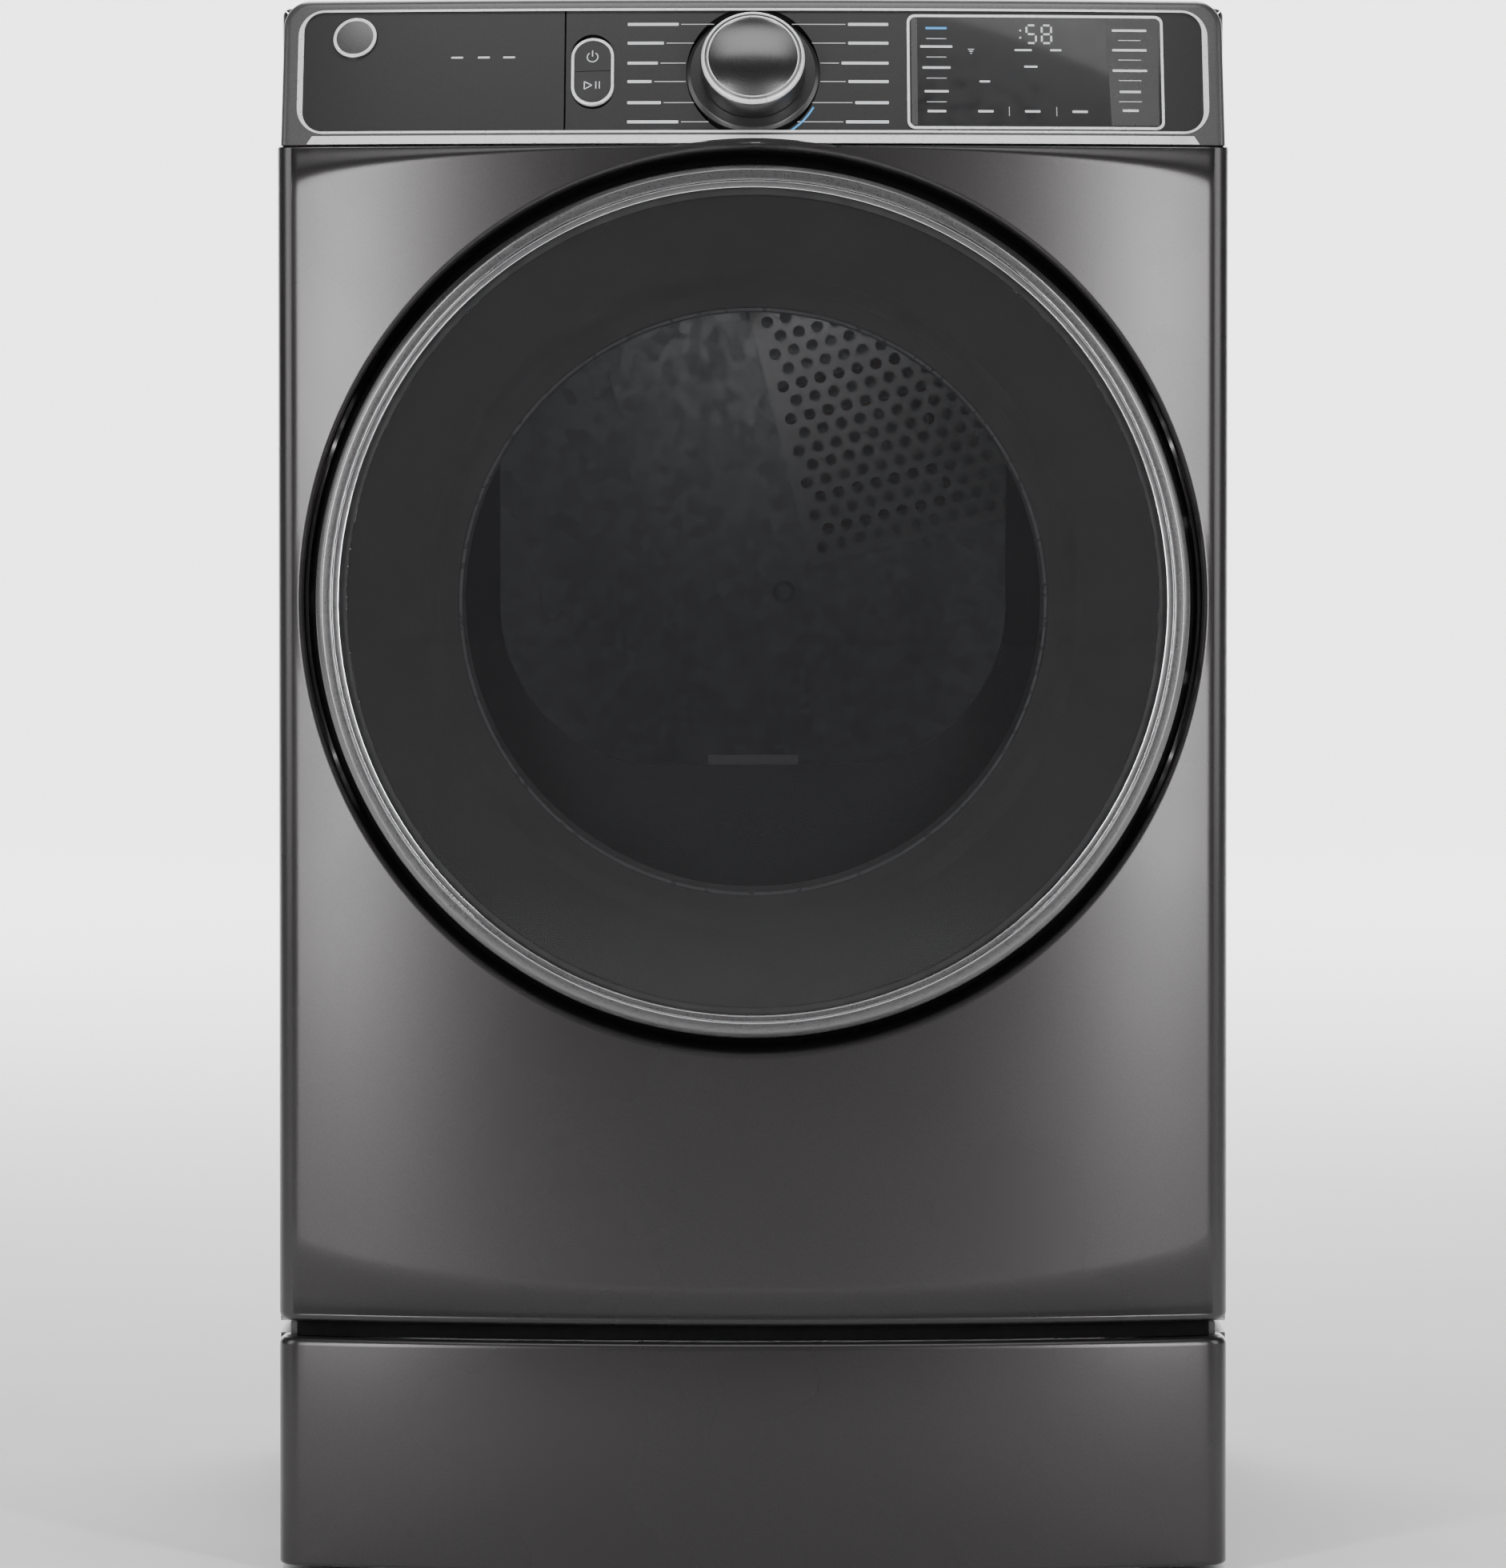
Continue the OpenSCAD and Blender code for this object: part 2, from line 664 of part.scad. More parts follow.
module idler_pulley() {
    y0 = belt_y0 - 2;
    y1 = belt_y0 + belt_w + 2;
    color("#e4e0d6") y_turned([[4 + run_gap, y0], [10, y0], [10, y0 + 3], [idler_r - 4, y0 + 3],
        [idler_r - 4, y0], [idler_r, y0], [idler_r, y1], [idler_r - 4, y1], [idler_r - 4, y1 - 3],
        [10, y1 - 3], [10, y1], [4 + run_gap, y1]], idler_at[0], idler_at[1]);
}

module idler_spring() {
    y = belt_y0 + belt_w + 4 + 5 + 6.3;
    x0 = idler_at[0] - 2;
    color("#b5b7b9") translate([x0, y, base_z + 2]) rotate_extrude() polygon([
        for (i = [0 : 14]) each [[4, i * 6], [6, i * 6 + 1.5], [6, i * 6 + 3], [4, i * 6 + 4.5]],
        for (i = [14 : -1 : 0]) [3, i * 6 + 3]]);
}

// ---------- air path ----------

module blower_housing() {
    t = 2;
    out_x = duct_x + duct_r + 6;
    out_z = duct_r + 6;
    color("#46484a") difference() {
        union() {
            y_rod(blower_r, blower_y0, blower_y1, -motor_x, motor_z);
            block(-motor_x, out_x, blower_y0, blower_y1, motor_z - out_z, motor_z + out_z);
        }
        y_rod(blower_r - t, blower_y0 + t, blower_y1 - t, -motor_x, motor_z);
        block(-motor_x, out_x - t, blower_y0 + t, blower_y1 - t, motor_z - out_z + t, motor_z + out_z - t);
        y_rod(inlet_r - duct_t, blower_y0 - 1, blower_y0 + t + 1, -motor_x, motor_z);
        y_rod(shaft_r + 3, blower_y1 - t - 1, blower_y1 + 1, -motor_x, motor_z);
        y_rod(duct_r - duct_t, blower_y1 - t - 1, blower_y1 + 1, duct_x, motor_z);
    }
}

module lint_duct() {
    z0 = motor_z - inlet_r - 12;
    color("#4b4e51") {
        difference() {
            union() {
                block(-duct_box_w / 2, duct_box_w / 2, duct_box_y0, duct_box_y1, z0, duct_box_z1);
                y_rod(inlet_r, duct_box_y1 - e, blower_y0, -motor_x, motor_z);
            }
            block(-duct_box_w / 2 + duct_t, duct_box_w / 2 - duct_t, duct_box_y0 - 1,
                duct_box_y1 - duct_t, z0 + duct_t, duct_box_z1 - duct_t);
            y_rod(inlet_r - duct_t, duct_box_y1 - duct_t - 1, blower_y0 + 1, -motor_x, motor_z);
            block(-filter_w / 2 - 1, filter_w / 2 + 1, filter_y - 1, filter_y + filter_d + 1,
                duct_box_z1 - 3, duct_box_z1 + 1);
            for (i = [0 : 8], j = [0 : 3])
                block(-99 + i * 22.5, -81 + i * 22.5, duct_box_y1 - 3, duct_box_y1 + 1,
                    duct_box_z1 - 60 + j * 12, duct_box_z1 - 52 + j * 12);
        }
        // Rails that carry the filter at its lower edge
        for (s = [-1, 1])
            block(s * (filter_w / 2 - 8) - 6, s * (filter_w / 2 - 8) + 6, duct_box_y0 + 1,
                duct_box_y1 - duct_t, filter_z0 - 4, filter_z0 - rest_gap);
    }
}

module moisture_sensors() {
    color("#c8cacc") for (dz = [0, 18])
        block(-60, 60, duct_box_y1, duct_box_y1 + 2.5, duct_box_z1 - 92 + dz, duct_box_z1 - 86 + dz);
}

module lint_filter() {
    rim = 8;
    y1 = filter_y + filter_d;
    color("#b9bdbf") {
        difference() {
            block(-filter_w / 2, filter_w / 2, filter_y, y1, filter_z0, filter_z1);
            block(-filter_w / 2 + rim, filter_w / 2 - rim, filter_y + 2, y1 - 2,
                filter_z0 + rim, filter_z1 - rim);
            for (i = [0 : 4])
                block(-filter_w / 2 + rim + i * 41.5, -filter_w / 2 + rim + 36 + i * 41.5,
                    filter_y - 1, y1 + 1, filter_z0 + rim, filter_z1 - rim - 12);
        }
        block(-34, 34, filter_y + 3, y1 - 3, filter_z1 - e, filter_z1 + 9);
    }
}

module exhaust_duct() {
    shoulder = 0.8;
    color("#c3c6c8") {
        y_tube(duct_r - duct_t, duct_r + shoulder, blower_y1, y_rear, duct_x, motor_z);
        y_tube(duct_r - duct_t, duct_r, y_rear - e, y_rear + collar_l, duct_x, motor_z);
    }
}

module heater_box() {
    y0 = rb_y + rb_t;
    y1 = y_rear - sheet - 8;
    color("#a9acae") difference() {
        grille_zone(y0, y1, -14);
        grille_zone(y0 - 1, y1 - 1.2, -12.8);
        rotate_about(drum_z, back_tilt)
            block(grille_x + 20, grille_x + 120, y0 + 8, y1 - 8, drum_z + grille_z - 20, drum_z + grille_z + 20);
    }
}

module heater_coil() {
    y1 = y_rear - sheet - 9.2;
    y = (rb_y + rb_t + y1) / 2;
    rows = 5;
    step = 30;
    x0 = grille_x + 8;
    x1 = grille_x + 128;
    z0 = drum_z + grille_z + 30;
    run = [for (i = [0 : rows - 1]) each (i % 2 == 0
        ? [[x0, y, z0 + i * step], [x1, y, z0 + i * step]]
        : [[x1, y, z0 + i * step], [x0, y, z0 + i * step]])];
    color("#8a6d5a") rotate_about(drum_z, back_tilt) {
        bent_rod(run, 2.5);
        for (x = [x0 + 30, x1 - 30], i = [0, rows - 1])
            y_rod(5, y - 1, y1, x, z0 + i * step, $fn = 24);
    }
}

module thermostats() {
    color("#d9d4c5") {
        rotate_about(drum_z, back_tilt)
            y_rod(9, y_rear - sheet - 8, y_rear - sheet - 1, grille_x + 60, drum_z + grille_z + 90);
        y_rod(9, blower_y0 - 9, blower_y0, duct_x + 10, motor_z + 20);
    }
}

module water_valve() {
    color("#3b6ea5") {
        block(valve_x - 26, valve_x + 26, y_rear - sheet - 36, y_rear - sheet, valve_z - 22, valve_z + 22);
        y_rod(spigot_r, y_rear - sheet - e, y_rear + 26, valve_x, valve_z);
    }
}

module steam_hose() {
    y = y_rear - sheet - 20;
    color("#d7d9da") {
        bent_rod([[valve_x + 26, y, valve_z], [valve_x + 60, y, valve_z],
            [nozzle_x, y, nozzle_z + 50], [nozzle_x, y, nozzle_z], [nozzle_x, rb_y - 8, nozzle_z]], 6);
        y_rod(9, rb_y + rb_t, rb_y + rb_t + 4, nozzle_x, nozzle_z);
    }
}

module terminal_cover() {
    x0 = 145;
    x1 = 265;
    z0 = top_z0 - 155;
    z1 = top_z0 - 55;
    depth = 36;
    wall = 1.5;
    color("#8d8f90") difference() {
        block(x0, x1, y_rear, y_rear + depth, z0, z1);
        block(x0 + wall, x1 - wall, y_rear - 1, y_rear + depth - wall, z0 + 4, z1 - wall);
        translate([(x0 + x1) / 2, y_rear + depth / 2, z0 - 1]) cylinder(r = gland_r, h = 6);
    }
}

module wire_harness() {
    x = -cab_w / 2 + 14;
    y0 = con_back_y - 30;
    y1 = con_back_y + 12;
    z0 = con_z + 22;
    color("#c2562f") bent_rod([[60, y0, z0], [x + 4, y0 + 1, z0 - 1], [x + 1, y1, z0 - 3],
        [x, y1 + 2, base_z + 60], [x + 2, motor_y0 + 30, base_z + 26],
        [-motor_x - 48, motor_y0 + 32, base_z + 24]], 5);
}

module drum_lamp() {
    color("#f1ecd8")
        block(-22, 22, fb_y + fb_t, fb_y + fb_t + 16, mouth_z0 + mouth_h + 14, mouth_z0 + mouth_h + 40);
}

// ---------- riser ----------

module riser_front() {
    lip = 34;
    color("#464243") {
        bow_sheet(0, sheet, seam_y, 6, riser_h);
        for (z = [6, riser_h - sheet])
            translate([0, 0, z]) linear_extrude(sheet) difference() {
                bow_plan(0, seam_y);
                intersection() {
                    translate([0, bow_cy]) circle(bow_r - lip, $fn = bow_fn);
                    translate([-corner_x, y_apex]) square([2 * corner_x, seam_y + 1 - y_apex]);
                }
            }
    }
}

module riser_frame() {
    y0 = seam_y + 0.4;
    deck = 60;
    color("#3f3c3d") difference() {
        union() {
            difference() {
                block(-cab_w / 2, cab_w / 2, y0, y_rear, 6, riser_h);
                block(-cab_w / 2 + sheet, cab_w / 2 - sheet, y0 - 1, y_rear - sheet, 5, riser_h - sheet);
                block(-cab_w / 2 + deck, cab_w / 2 - deck, y0 - 1, y_rear - deck, 5, riser_h + 1);
            }
            mirrored_x() {
                block(cab_w / 2 - 58, cab_w / 2 - 8, corner_y + 6, y_rear - 6, riser_h, body_z);
                for (y = [-foot_y, foot_y])
                    block(foot_x - 30, cab_w / 2 - sheet + e, y - 30, y + 30, 30, 33);
            }
            block(-cab_w / 2 + sheet - e, cab_w / 2 - sheet + e, -20, 20, riser_h - 30, riser_h - sheet + e);
        }
        for (x = [-1, 1], y = [-1, 1])
            translate([x * foot_x, y * foot_y, 20]) cylinder(r = 5.2, h = riser_h);
    }
}

module riser_feet() {
    color("#262627") for (x = [-1, 1], y = [-1, 1])
        translate([x * foot_x, y * foot_y, 0]) rotate_extrude() polygon([[0, 0], [20, 0], [22, 3],
            [22, 8], [8, 11], [5, 11], [5, 24], [9, 24], [9, 30], [5, 30], [5, 44], [0, 44]]);
}

// ---------- door ----------

// Room that each fixed hinge ear needs inside the door as the door swings
module ear_room() {
    for (s = [-1, 1])
        translate([hinge_x, hinge_y, door_z + s * hinge_span - ear_t / 2 - 1]) intersection() {
            cylinder(r = swing_r, h = ear_t + 2);
            union() {
                translate([-swing_r, -knuckle_r - 0.8, 0]) cube([swing_r * 2, swing_r * 2, ear_t + 2]);
                translate([2, y_front + 6.8 - hinge_y, 0]) cube([swing_r, swing_r, ear_t + 2]);
            }
        }
}

module door_ring() {
    y1 = y_front + 6;
    r0 = ring_r - ring_w;
    color("#a7a9ab") difference() {
        y_turned([[r0, y_front + 2], [r0 + 2, y_front], [ring_r - 4, y_front], [ring_r, y_front + 4],
            [ring_r, ring_back], [ring_r - 3.5, ring_back], [ring_r - 3.5, y1], [r0, y1]]);
        ear_room();
    }
}

module door_glass() {
    color("#202022") y_turned([[0, glass_y0], [glass_r - 1, glass_y0], [glass_r, glass_y0 + 1],
        [glass_r, glass_y1], [0, glass_y1]]);
}

module door_frame() {
    color("#151516") difference() {
        y_tube(bowl_r1, ring_r - 3.5, glass_y1, glass_y1 + 4, 0, door_z);
        ear_room();
    }
}

module door_liner() {
    t = 2.5;
    plate = ring_back + 2;
    color("#333436") difference() {
        y_turned([[ring_r - 3.6, ring_back], [ring_r - 3.6, plate], [bowl_r0, plate],
            [bowl_r1 + t, window_y1], [window_r, window_y1], [window_r, window_y1 - t],
            [bowl_r1, window_y1 - t], [bowl_r0 - t, ring_back], [bowl_r0 - t, glass_y1 + 4],
            [bowl_r0, glass_y1 + 4], [bowl_r0, ring_back]]);
        ear_room();
    }
}

module door_window() {
    color("#3a3c3e") y_turned([[0, window_y1 - 6], [window_r + 14, window_y1 - 6],
        [window_r + 14, window_y1 - 2.5], [0, window_y1 - 2.5]]);
}

module door_gasket() {
    plate = ring_back + 2;
    color("#1c1c1d") y_turned([[gasket_r0, plate], [gasket_r1, plate], [gasket_r1, dish_y - 3],
        [gasket_r1 - 3, dish_y - rest_gap], [gasket_r0 + 3, dish_y - rest_gap], [gasket_r0, dish_y - 3]]);
}

// Hinge leaf inside the door and the strike that the catch holds
module door_hardware() {
    leaf_h = 90;
    knuckle_h = 2 * (hinge_span - ear_t / 2 - rest_gap);
    color("#b4b6b8") {
        difference() {
            union() {
                translate([hinge_x, hinge_y, door_z - knuckle_h / 2]) cylinder(r = knuckle_r, h = knuckle_h);
                block(bowl_r0 + 6, hinge_x, glass_y1 + 4, glass_y1 + 8, door_z - leaf_h / 2, door_z + leaf_h / 2);
            }
            translate([hinge_x, hinge_y, door_z - 100]) cylinder(r = hinge_pin_r + run_gap, h = 200);
        }
        block(-strike_x - 3, -strike_x + 3, ring_back + 2, dish_y + 8, door_z - 6, door_z + 6);
    }
}

// Two ears on the dish floor with the hinge pin between them
module hinge_bracket() {
    top = hinge_span + ear_t / 2;
    color("#8f9193") {
        for (s = [-1, 1]) {
            z0 = door_z + s * hinge_span - ear_t / 2;
            translate([hinge_x, hinge_y, z0]) cylinder(r = knuckle_r, h = ear_t);
            block(hinge_x - ear_w / 2, hinge_x + ear_w / 2, hinge_y, dish_y, z0, z0 + ear_t);
        }
        translate([hinge_x, hinge_y, door_z - top]) cylinder(r = hinge_pin_r, h = 2 * top);
    }
}

module door_catch() {
    y0 = dish_y + sheet;
    color("#2a2a2b") difference() {
        block(-strike_x - 14, -strike_x + 14, y0, y0 + 18, door_z - 22, door_z + 22);
        block(-strike_x - 7, -strike_x + 7, y0 - 1, y0 + 12, door_z - 11, door_z + 11);
    }
}

module door_switch() {
    y0 = dish_y + sheet;
    color("#d5d2c8") block(-strike_x - 10, -strike_x + 10, y0, y0 + 14, door_z + 40, door_z + 64);
}

// ---------- console ----------

// Frame of the tilted face: X across, Y into the console and Z up the face
module on_face() {
    translate([0, y_apex, con_z]) rotate([-con_tilt, 0, 0]) children();
}

// Frame on the face at the place x across and u up, square to the bowed surface there
module at_face(x, u) {
    on_face() translate([x, bow_at(x), u + bow_at(x) * tan(con_tilt)]) rotate([0, 0, yaw_at(x)])
        children();
}

module face_bow(inset, back) {
    translate([0, -y_apex]) bow_plan(inset, y_apex + back, face_r);
}

// Bowed slab on the face, with its outline drawn as seen from the front
module face_slab(inset, t) {
    intersection() {
        on_face() translate([0, 0, -60]) linear_extrude(con_u + 120) difference() {
            face_bow(inset, 150);
            face_bow(inset + t, 151);
        }
        translate([0, 0, con_z]) upright(y_apex - 20, y_apex + 180) children();
    }
}

// Cut into the face, from in front of it to the given depth
module face_cut(depth) {
    intersection() {
        on_face() translate([0, 0, -60]) linear_extrude(con_u + 120) difference() {
            translate([-cab_w / 2, -30]) square([cab_w, 110]);
            translate([0, face_r]) circle(face_r - depth, $fn = bow_fn);
        }
        translate([0, 0, con_z]) upright(y_apex - 20, y_apex + 180) children();
    }
}

module console_body(inset, back) {
    w = cab_w - 6 - 2 * inset;
    intersection() {
        on_face() translate([0, 0, -120]) linear_extrude(360) face_bow(inset, 260);
        upright(y_apex - 20, back) intersection() {
            translate([0, cab_h - inset - 200]) round_rect(w, 400, 20 - inset);
            translate([-w / 2, con_z + min(inset, 2)]) square([w, con_rise]);
        }
    }
}

module face_outline(shrink) {
    translate([0, (up(face_u0) + up(face_u1)) / 2])
        round_rect(2 * (frame_x - shrink), up(face_u1 - face_u0) - 2 * shrink, 22 - shrink);
}

module display_outline(grow, r) {
    translate([display_x, up(display_u)])
        round_rect(display_w + 2 * grow, up(display_h) + 2 * grow, r);
}

module console_housing() {
    color("#55565a") difference() {
        console_body(0, con_back_y);
        console_body(con_wall, con_back_y + 1);
        face_cut(fascia_in + fascia_t) face_outline(0);
        face_cut(12) face_outline(8);
        face_cut(20) display_outline(0.3, 4);
    }
}

module stadium(w, h) {
    square([w, h - w], center = true);
    for (s = [-1, 1]) translate([0, s * (h - w) / 2]) circle(w / 2);
}

module fascia_left() {
    color("#4a4b4d") face_slab(fascia_in, fascia_t) intersection() {
        face_outline(1.9);
        translate([-cab_w, 0]) square([cab_w + split_x - 0.25, con_u]);
    }
}

module fascia_right() {
    color("#4e4f52") difference() {
        face_slab(fascia_in, fascia_t) difference() {
            intersection() {
                face_outline(1.9);
                translate([split_x + 0.25, 0]) square([cab_w, con_u]);
            }
            display_outline(0.2, 6);
        }
        at_face(0, knob_u) y_rod(skirt_r + 0.2, -10, 20);
        at_face(button_x, button_u) upright(-10, 20) stadium(button_w + 5, button_h + 5);
    }
}

module console_trim() {
    color("#d4d6d8") {
        difference() {
            face_slab(0, fascia_in + fascia_t - seat_gap) difference() {
                face_outline(seat_gap);
                face_outline(1.8);
            }
            at_face(0, knob_u) y_rod(skirt_r + 0.2, -10, 20);
        }
        face_slab(-0.8, 0.8 - seat_gap) translate([-cab_w / 2 + 22, 0.4])
            square([cab_w - 44, up(7.3) - 0.4]);
        at_face(badge_x, badge_u) y_rod(16.5, -1, fascia_in);
    }
}

module knob_skirt() {
    color("#2c2d2f") at_face(0, knob_u) difference() {
        y_rod(skirt_r, -skirt_out, fascia_in + fascia_t);
        y_rod(stem_r + 0.5, -skirt_out - 1, fascia_in + fascia_t + 1);
    }
}

module knob() {
    y0 = -skirt_out - rest_gap;
    y1 = y0 - knob_h;
    color("#98999b") at_face(0, knob_u) rotate([-90, 0, 0]) rotate_extrude()
        polygon([[0, y1 + 1], [knob_face_r - 3, y1 + 1], [knob_face_r - 2, y1], [knob_face_r, y1],
            [knob_r, y1 + 6], [knob_r, y0 - 3], [knob_r - 2, y0], [stem_r, y0], [stem_r, stem_end],
            [0, stem_end]]);
}

module button_bezel() {
    color("#d9dbdc") at_face(button_x, button_u) upright(-0.6, fascia_in + fascia_t) difference() {
        stadium(button_w + 4.8, button_h + 4.8);
        stadium(button_w, button_h);
    }
}

// One of the two buttons: s is 1 for the upper and -1 for the lower
module push_button(s) {
    color("#3b3c3e") at_face(button_x, button_u) upright(-1, button_back) intersection() {
        stadium(button_w - 2 * rest_gap, button_h - 2 * rest_gap);
        translate([-50, s > 0 ? rest_gap / 2 : -50 - rest_gap / 2]) square([100, 50]);
    }
}

module display_panel() {
    color("#2f3032") face_slab(fascia_in - 0.6, 12) display_outline(0, 6);
}

module control_board() {
    board_in = 12;
    post_x = [-98, 100];
    color("#2f6b3f") {
        difference() {
            union() {
                face_slab(board_in, 2) translate([-136, up(32)]) square([238, up(66)]);
                for (x = post_x, u = [37, 93])
                    at_face(x, u) y_rod(3, fascia_in + fascia_t, board_in + 0.3);
                at_face(0, knob_u) y_rod(14, fascia_in + fascia_t + rest_gap, board_in + 0.3);
                at_face(button_x, button_u) for (s = [-1, 1])
                    block(-5, 5, button_back + button_travel + rest_gap, board_in + 0.3, s * 13 - 5, s * 13 + 5);
            }
            at_face(0, knob_u) y_rod(stem_r + run_gap, 0, 30);
        }
        block(60, 300, con_back_y - 44, con_back_y - 4, con_z + 2, con_z + 34);
    }
}

side_panel(-1);  // left_side_panel
side_panel(1);  // right_side_panel
rear_panel();
base_pan();
top_panel();
front_panel();
front_bulkhead();
rear_bulkhead();
inlet_grille();
drum_seals();
drum_glides();
drive_belt();
drive_motor();
blower_housing();
lint_duct();
exhaust_duct();
heater_box();
heater_coil();
thermostats();
roller_axles();
moisture_sensors();
drum_lamp();
hinge_bracket();
door_catch();
door_switch();
console_housing();
fascia_left();
fascia_right();
console_trim();
knob_skirt();
button_bezel();
display_panel();
control_board();
terminal_cover();
water_valve();
steam_hose();
wire_harness();
cabinet_screws();
riser_frame();
riser_front();
riser_feet();
door_ring();
door_glass();
door_frame();
door_liner();
door_window();
door_gasket();
door_hardware();
drum();
motor_rotor();
blower_wheel();
idler_arm();
idler_pulley();
idler_spring();
drum_roller(-1);  // roller_left
drum_roller(1);  // roller_right
lint_filter();
knob();
push_button(1);  // power_button
push_button(-1);  // start_button
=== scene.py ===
"""Clothes dryer on a riser: the looks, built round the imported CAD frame. Metres, front faces -Y."""
import json
import math

import bmesh
import bpy
from mathutils import Matrix, Vector

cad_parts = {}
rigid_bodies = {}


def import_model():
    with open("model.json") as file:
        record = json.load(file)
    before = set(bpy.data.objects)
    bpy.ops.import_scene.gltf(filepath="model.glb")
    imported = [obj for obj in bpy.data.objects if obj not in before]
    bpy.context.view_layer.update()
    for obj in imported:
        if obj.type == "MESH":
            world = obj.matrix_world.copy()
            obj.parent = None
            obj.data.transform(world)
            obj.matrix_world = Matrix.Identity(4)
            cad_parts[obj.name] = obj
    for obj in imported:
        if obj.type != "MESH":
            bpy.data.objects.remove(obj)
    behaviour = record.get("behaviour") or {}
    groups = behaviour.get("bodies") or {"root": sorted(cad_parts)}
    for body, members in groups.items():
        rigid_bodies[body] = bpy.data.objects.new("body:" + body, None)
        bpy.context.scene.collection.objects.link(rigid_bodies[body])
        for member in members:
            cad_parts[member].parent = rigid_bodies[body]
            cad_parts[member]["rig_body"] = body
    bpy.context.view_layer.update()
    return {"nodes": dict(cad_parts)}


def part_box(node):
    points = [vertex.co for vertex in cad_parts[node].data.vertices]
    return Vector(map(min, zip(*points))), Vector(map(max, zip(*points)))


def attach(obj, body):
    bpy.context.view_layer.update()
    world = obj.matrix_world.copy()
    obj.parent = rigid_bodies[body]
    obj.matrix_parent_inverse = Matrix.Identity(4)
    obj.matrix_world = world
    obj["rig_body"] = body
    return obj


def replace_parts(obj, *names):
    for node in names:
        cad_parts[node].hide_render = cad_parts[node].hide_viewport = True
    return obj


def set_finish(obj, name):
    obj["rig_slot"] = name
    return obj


# Blender's own start objects would count as pieces of the part.
for leftover in list(bpy.data.objects):
    bpy.data.objects.remove(leftover)
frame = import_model()
NODES = frame["nodes"]
MM = 0.001


# ---------- sizes read from the frame ----------

def span(node):
    """Lowest and highest corner of a node as vectors."""
    lo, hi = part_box(node)
    return Vector(lo), Vector(hi)


PANEL_LO, PANEL_HI = span("front_panel")
RISER_LO, RISER_HI = span("riser_front")
RING_LO, RING_HI = span("door_ring")
GLASS_LO, GLASS_HI = span("door_glass")
HOUSE_LO, HOUSE_HI = span("console_housing")

HALF = PANEL_HI.x
APEX = PANEL_LO.y
BOW = 1577 * MM            # radius of the bow of the front in plan
CORNER = 20 * MM           # radius of the two front corners in plan
DOOR_Z = (RING_LO.z + RING_HI.z) / 2
RING_R = (RING_HI.z - RING_LO.z) / 2
RING_Y0, RING_Y1 = RING_LO.y, RING_HI.y
GLASS_R = (GLASS_HI.z - GLASS_LO.z) / 2
DISH_R = 335 * MM
DISH_Y = APEX + 44 * MM
MOUTH_R = 275 * MM
CON_Z = HOUSE_LO.z
CON_TOP = HOUSE_HI.z
TILT = math.radians(26)
FACE_R = BOW / math.cos(TILT)
KNOB_U = 59.4 * MM
BUTTON_X, BUTTON_U = -119.5 * MM, 60.5 * MM
DISPLAY_X, DISPLAY_U = 211 * MM, 60.8 * MM
BADGE_X, BADGE_U = -298 * MM, 90 * MM


# ---------- mesh helpers ----------

def add_mesh(name, verts, faces, mat, body="root", smooth=True, sharp=40):
    """New object from points and faces, with clean normals, riding on a CAD body."""
    mesh = bpy.data.meshes.new(name)
    mesh.from_pydata([tuple(v) for v in verts], [], faces)
    bm = bmesh.new()
    bm.from_mesh(mesh)
    bmesh.ops.remove_doubles(bm, verts=bm.verts, dist=1e-6)
    bmesh.ops.dissolve_degenerate(bm, edges=bm.edges, dist=1e-7)
    bmesh.ops.recalc_face_normals(bm, faces=bm.faces)
    limit = math.radians(sharp)
    for edge in bm.edges:
        if len(edge.link_faces) == 2:
            edge.smooth = edge.calc_face_angle(0) < limit
    bm.to_mesh(mesh)
    bm.free()
    for poly in mesh.polygons:
        poly.use_smooth = smooth
    obj = bpy.data.objects.new(name, mesh)
    bpy.context.scene.collection.objects.link(obj)
    if mat:
        mesh.materials.append(mat)
    if body:
        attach(obj, body)
    return obj


def grid_faces(rows, cols, loop=False):
    """Quads between rows of equal length; loop joins each row's end to its start."""
    faces = []
    last = cols if loop else cols - 1
    for i in range(rows - 1):
        for j in range(last):
            k = (j + 1) % cols
            faces.append((i * cols + j, i * cols + k, (i + 1) * cols + k, (i + 1) * cols + j))
    return faces


def fillet(a, corner, b, radius, steps=6):
    """Points of a round corner between the directions to a and to b, for flat profiles."""
    a, corner, b = Vector(a), Vector(corner), Vector(b)
    da, db = (a - corner).normalized(), (b - corner).normalized()
    half = da.angle(db) / 2
    reach = min(radius / math.tan(half), (a - corner).length * 0.49, (b - corner).length * 0.49)
    r = reach * math.tan(half)
    centre = corner + (da + db).normalized() * (r / math.sin(half))
    p0, p1 = corner + da * reach, corner + db * reach
    v0, v1 = p0 - centre, p1 - centre
    total = v0.angle_signed(v1)
    out = []
    for i in range(steps + 1):
        t = -total * i / steps
        c, s = math.cos(t), math.sin(t)
        out.append(centre + Vector((v0.x * c - v0.y * s, v0.x * s + v0.y * c)))
    return out


def rounded(points, radius, closed=False, steps=5):
    """A flat outline with each corner rounded; radius is one number or one for each point."""
    n = len(points)
    radii = radius if isinstance(radius, (list, tuple)) else [radius] * n
    out = []
    for i, p in enumerate(points):
        if (not closed and i in (0, n - 1)) or radii[i] <= 0:
            out.append(Vector(p))
        else:
            out += fillet(points[i - 1], p, points[(i + 1) % n], radii[i], steps)
    return out


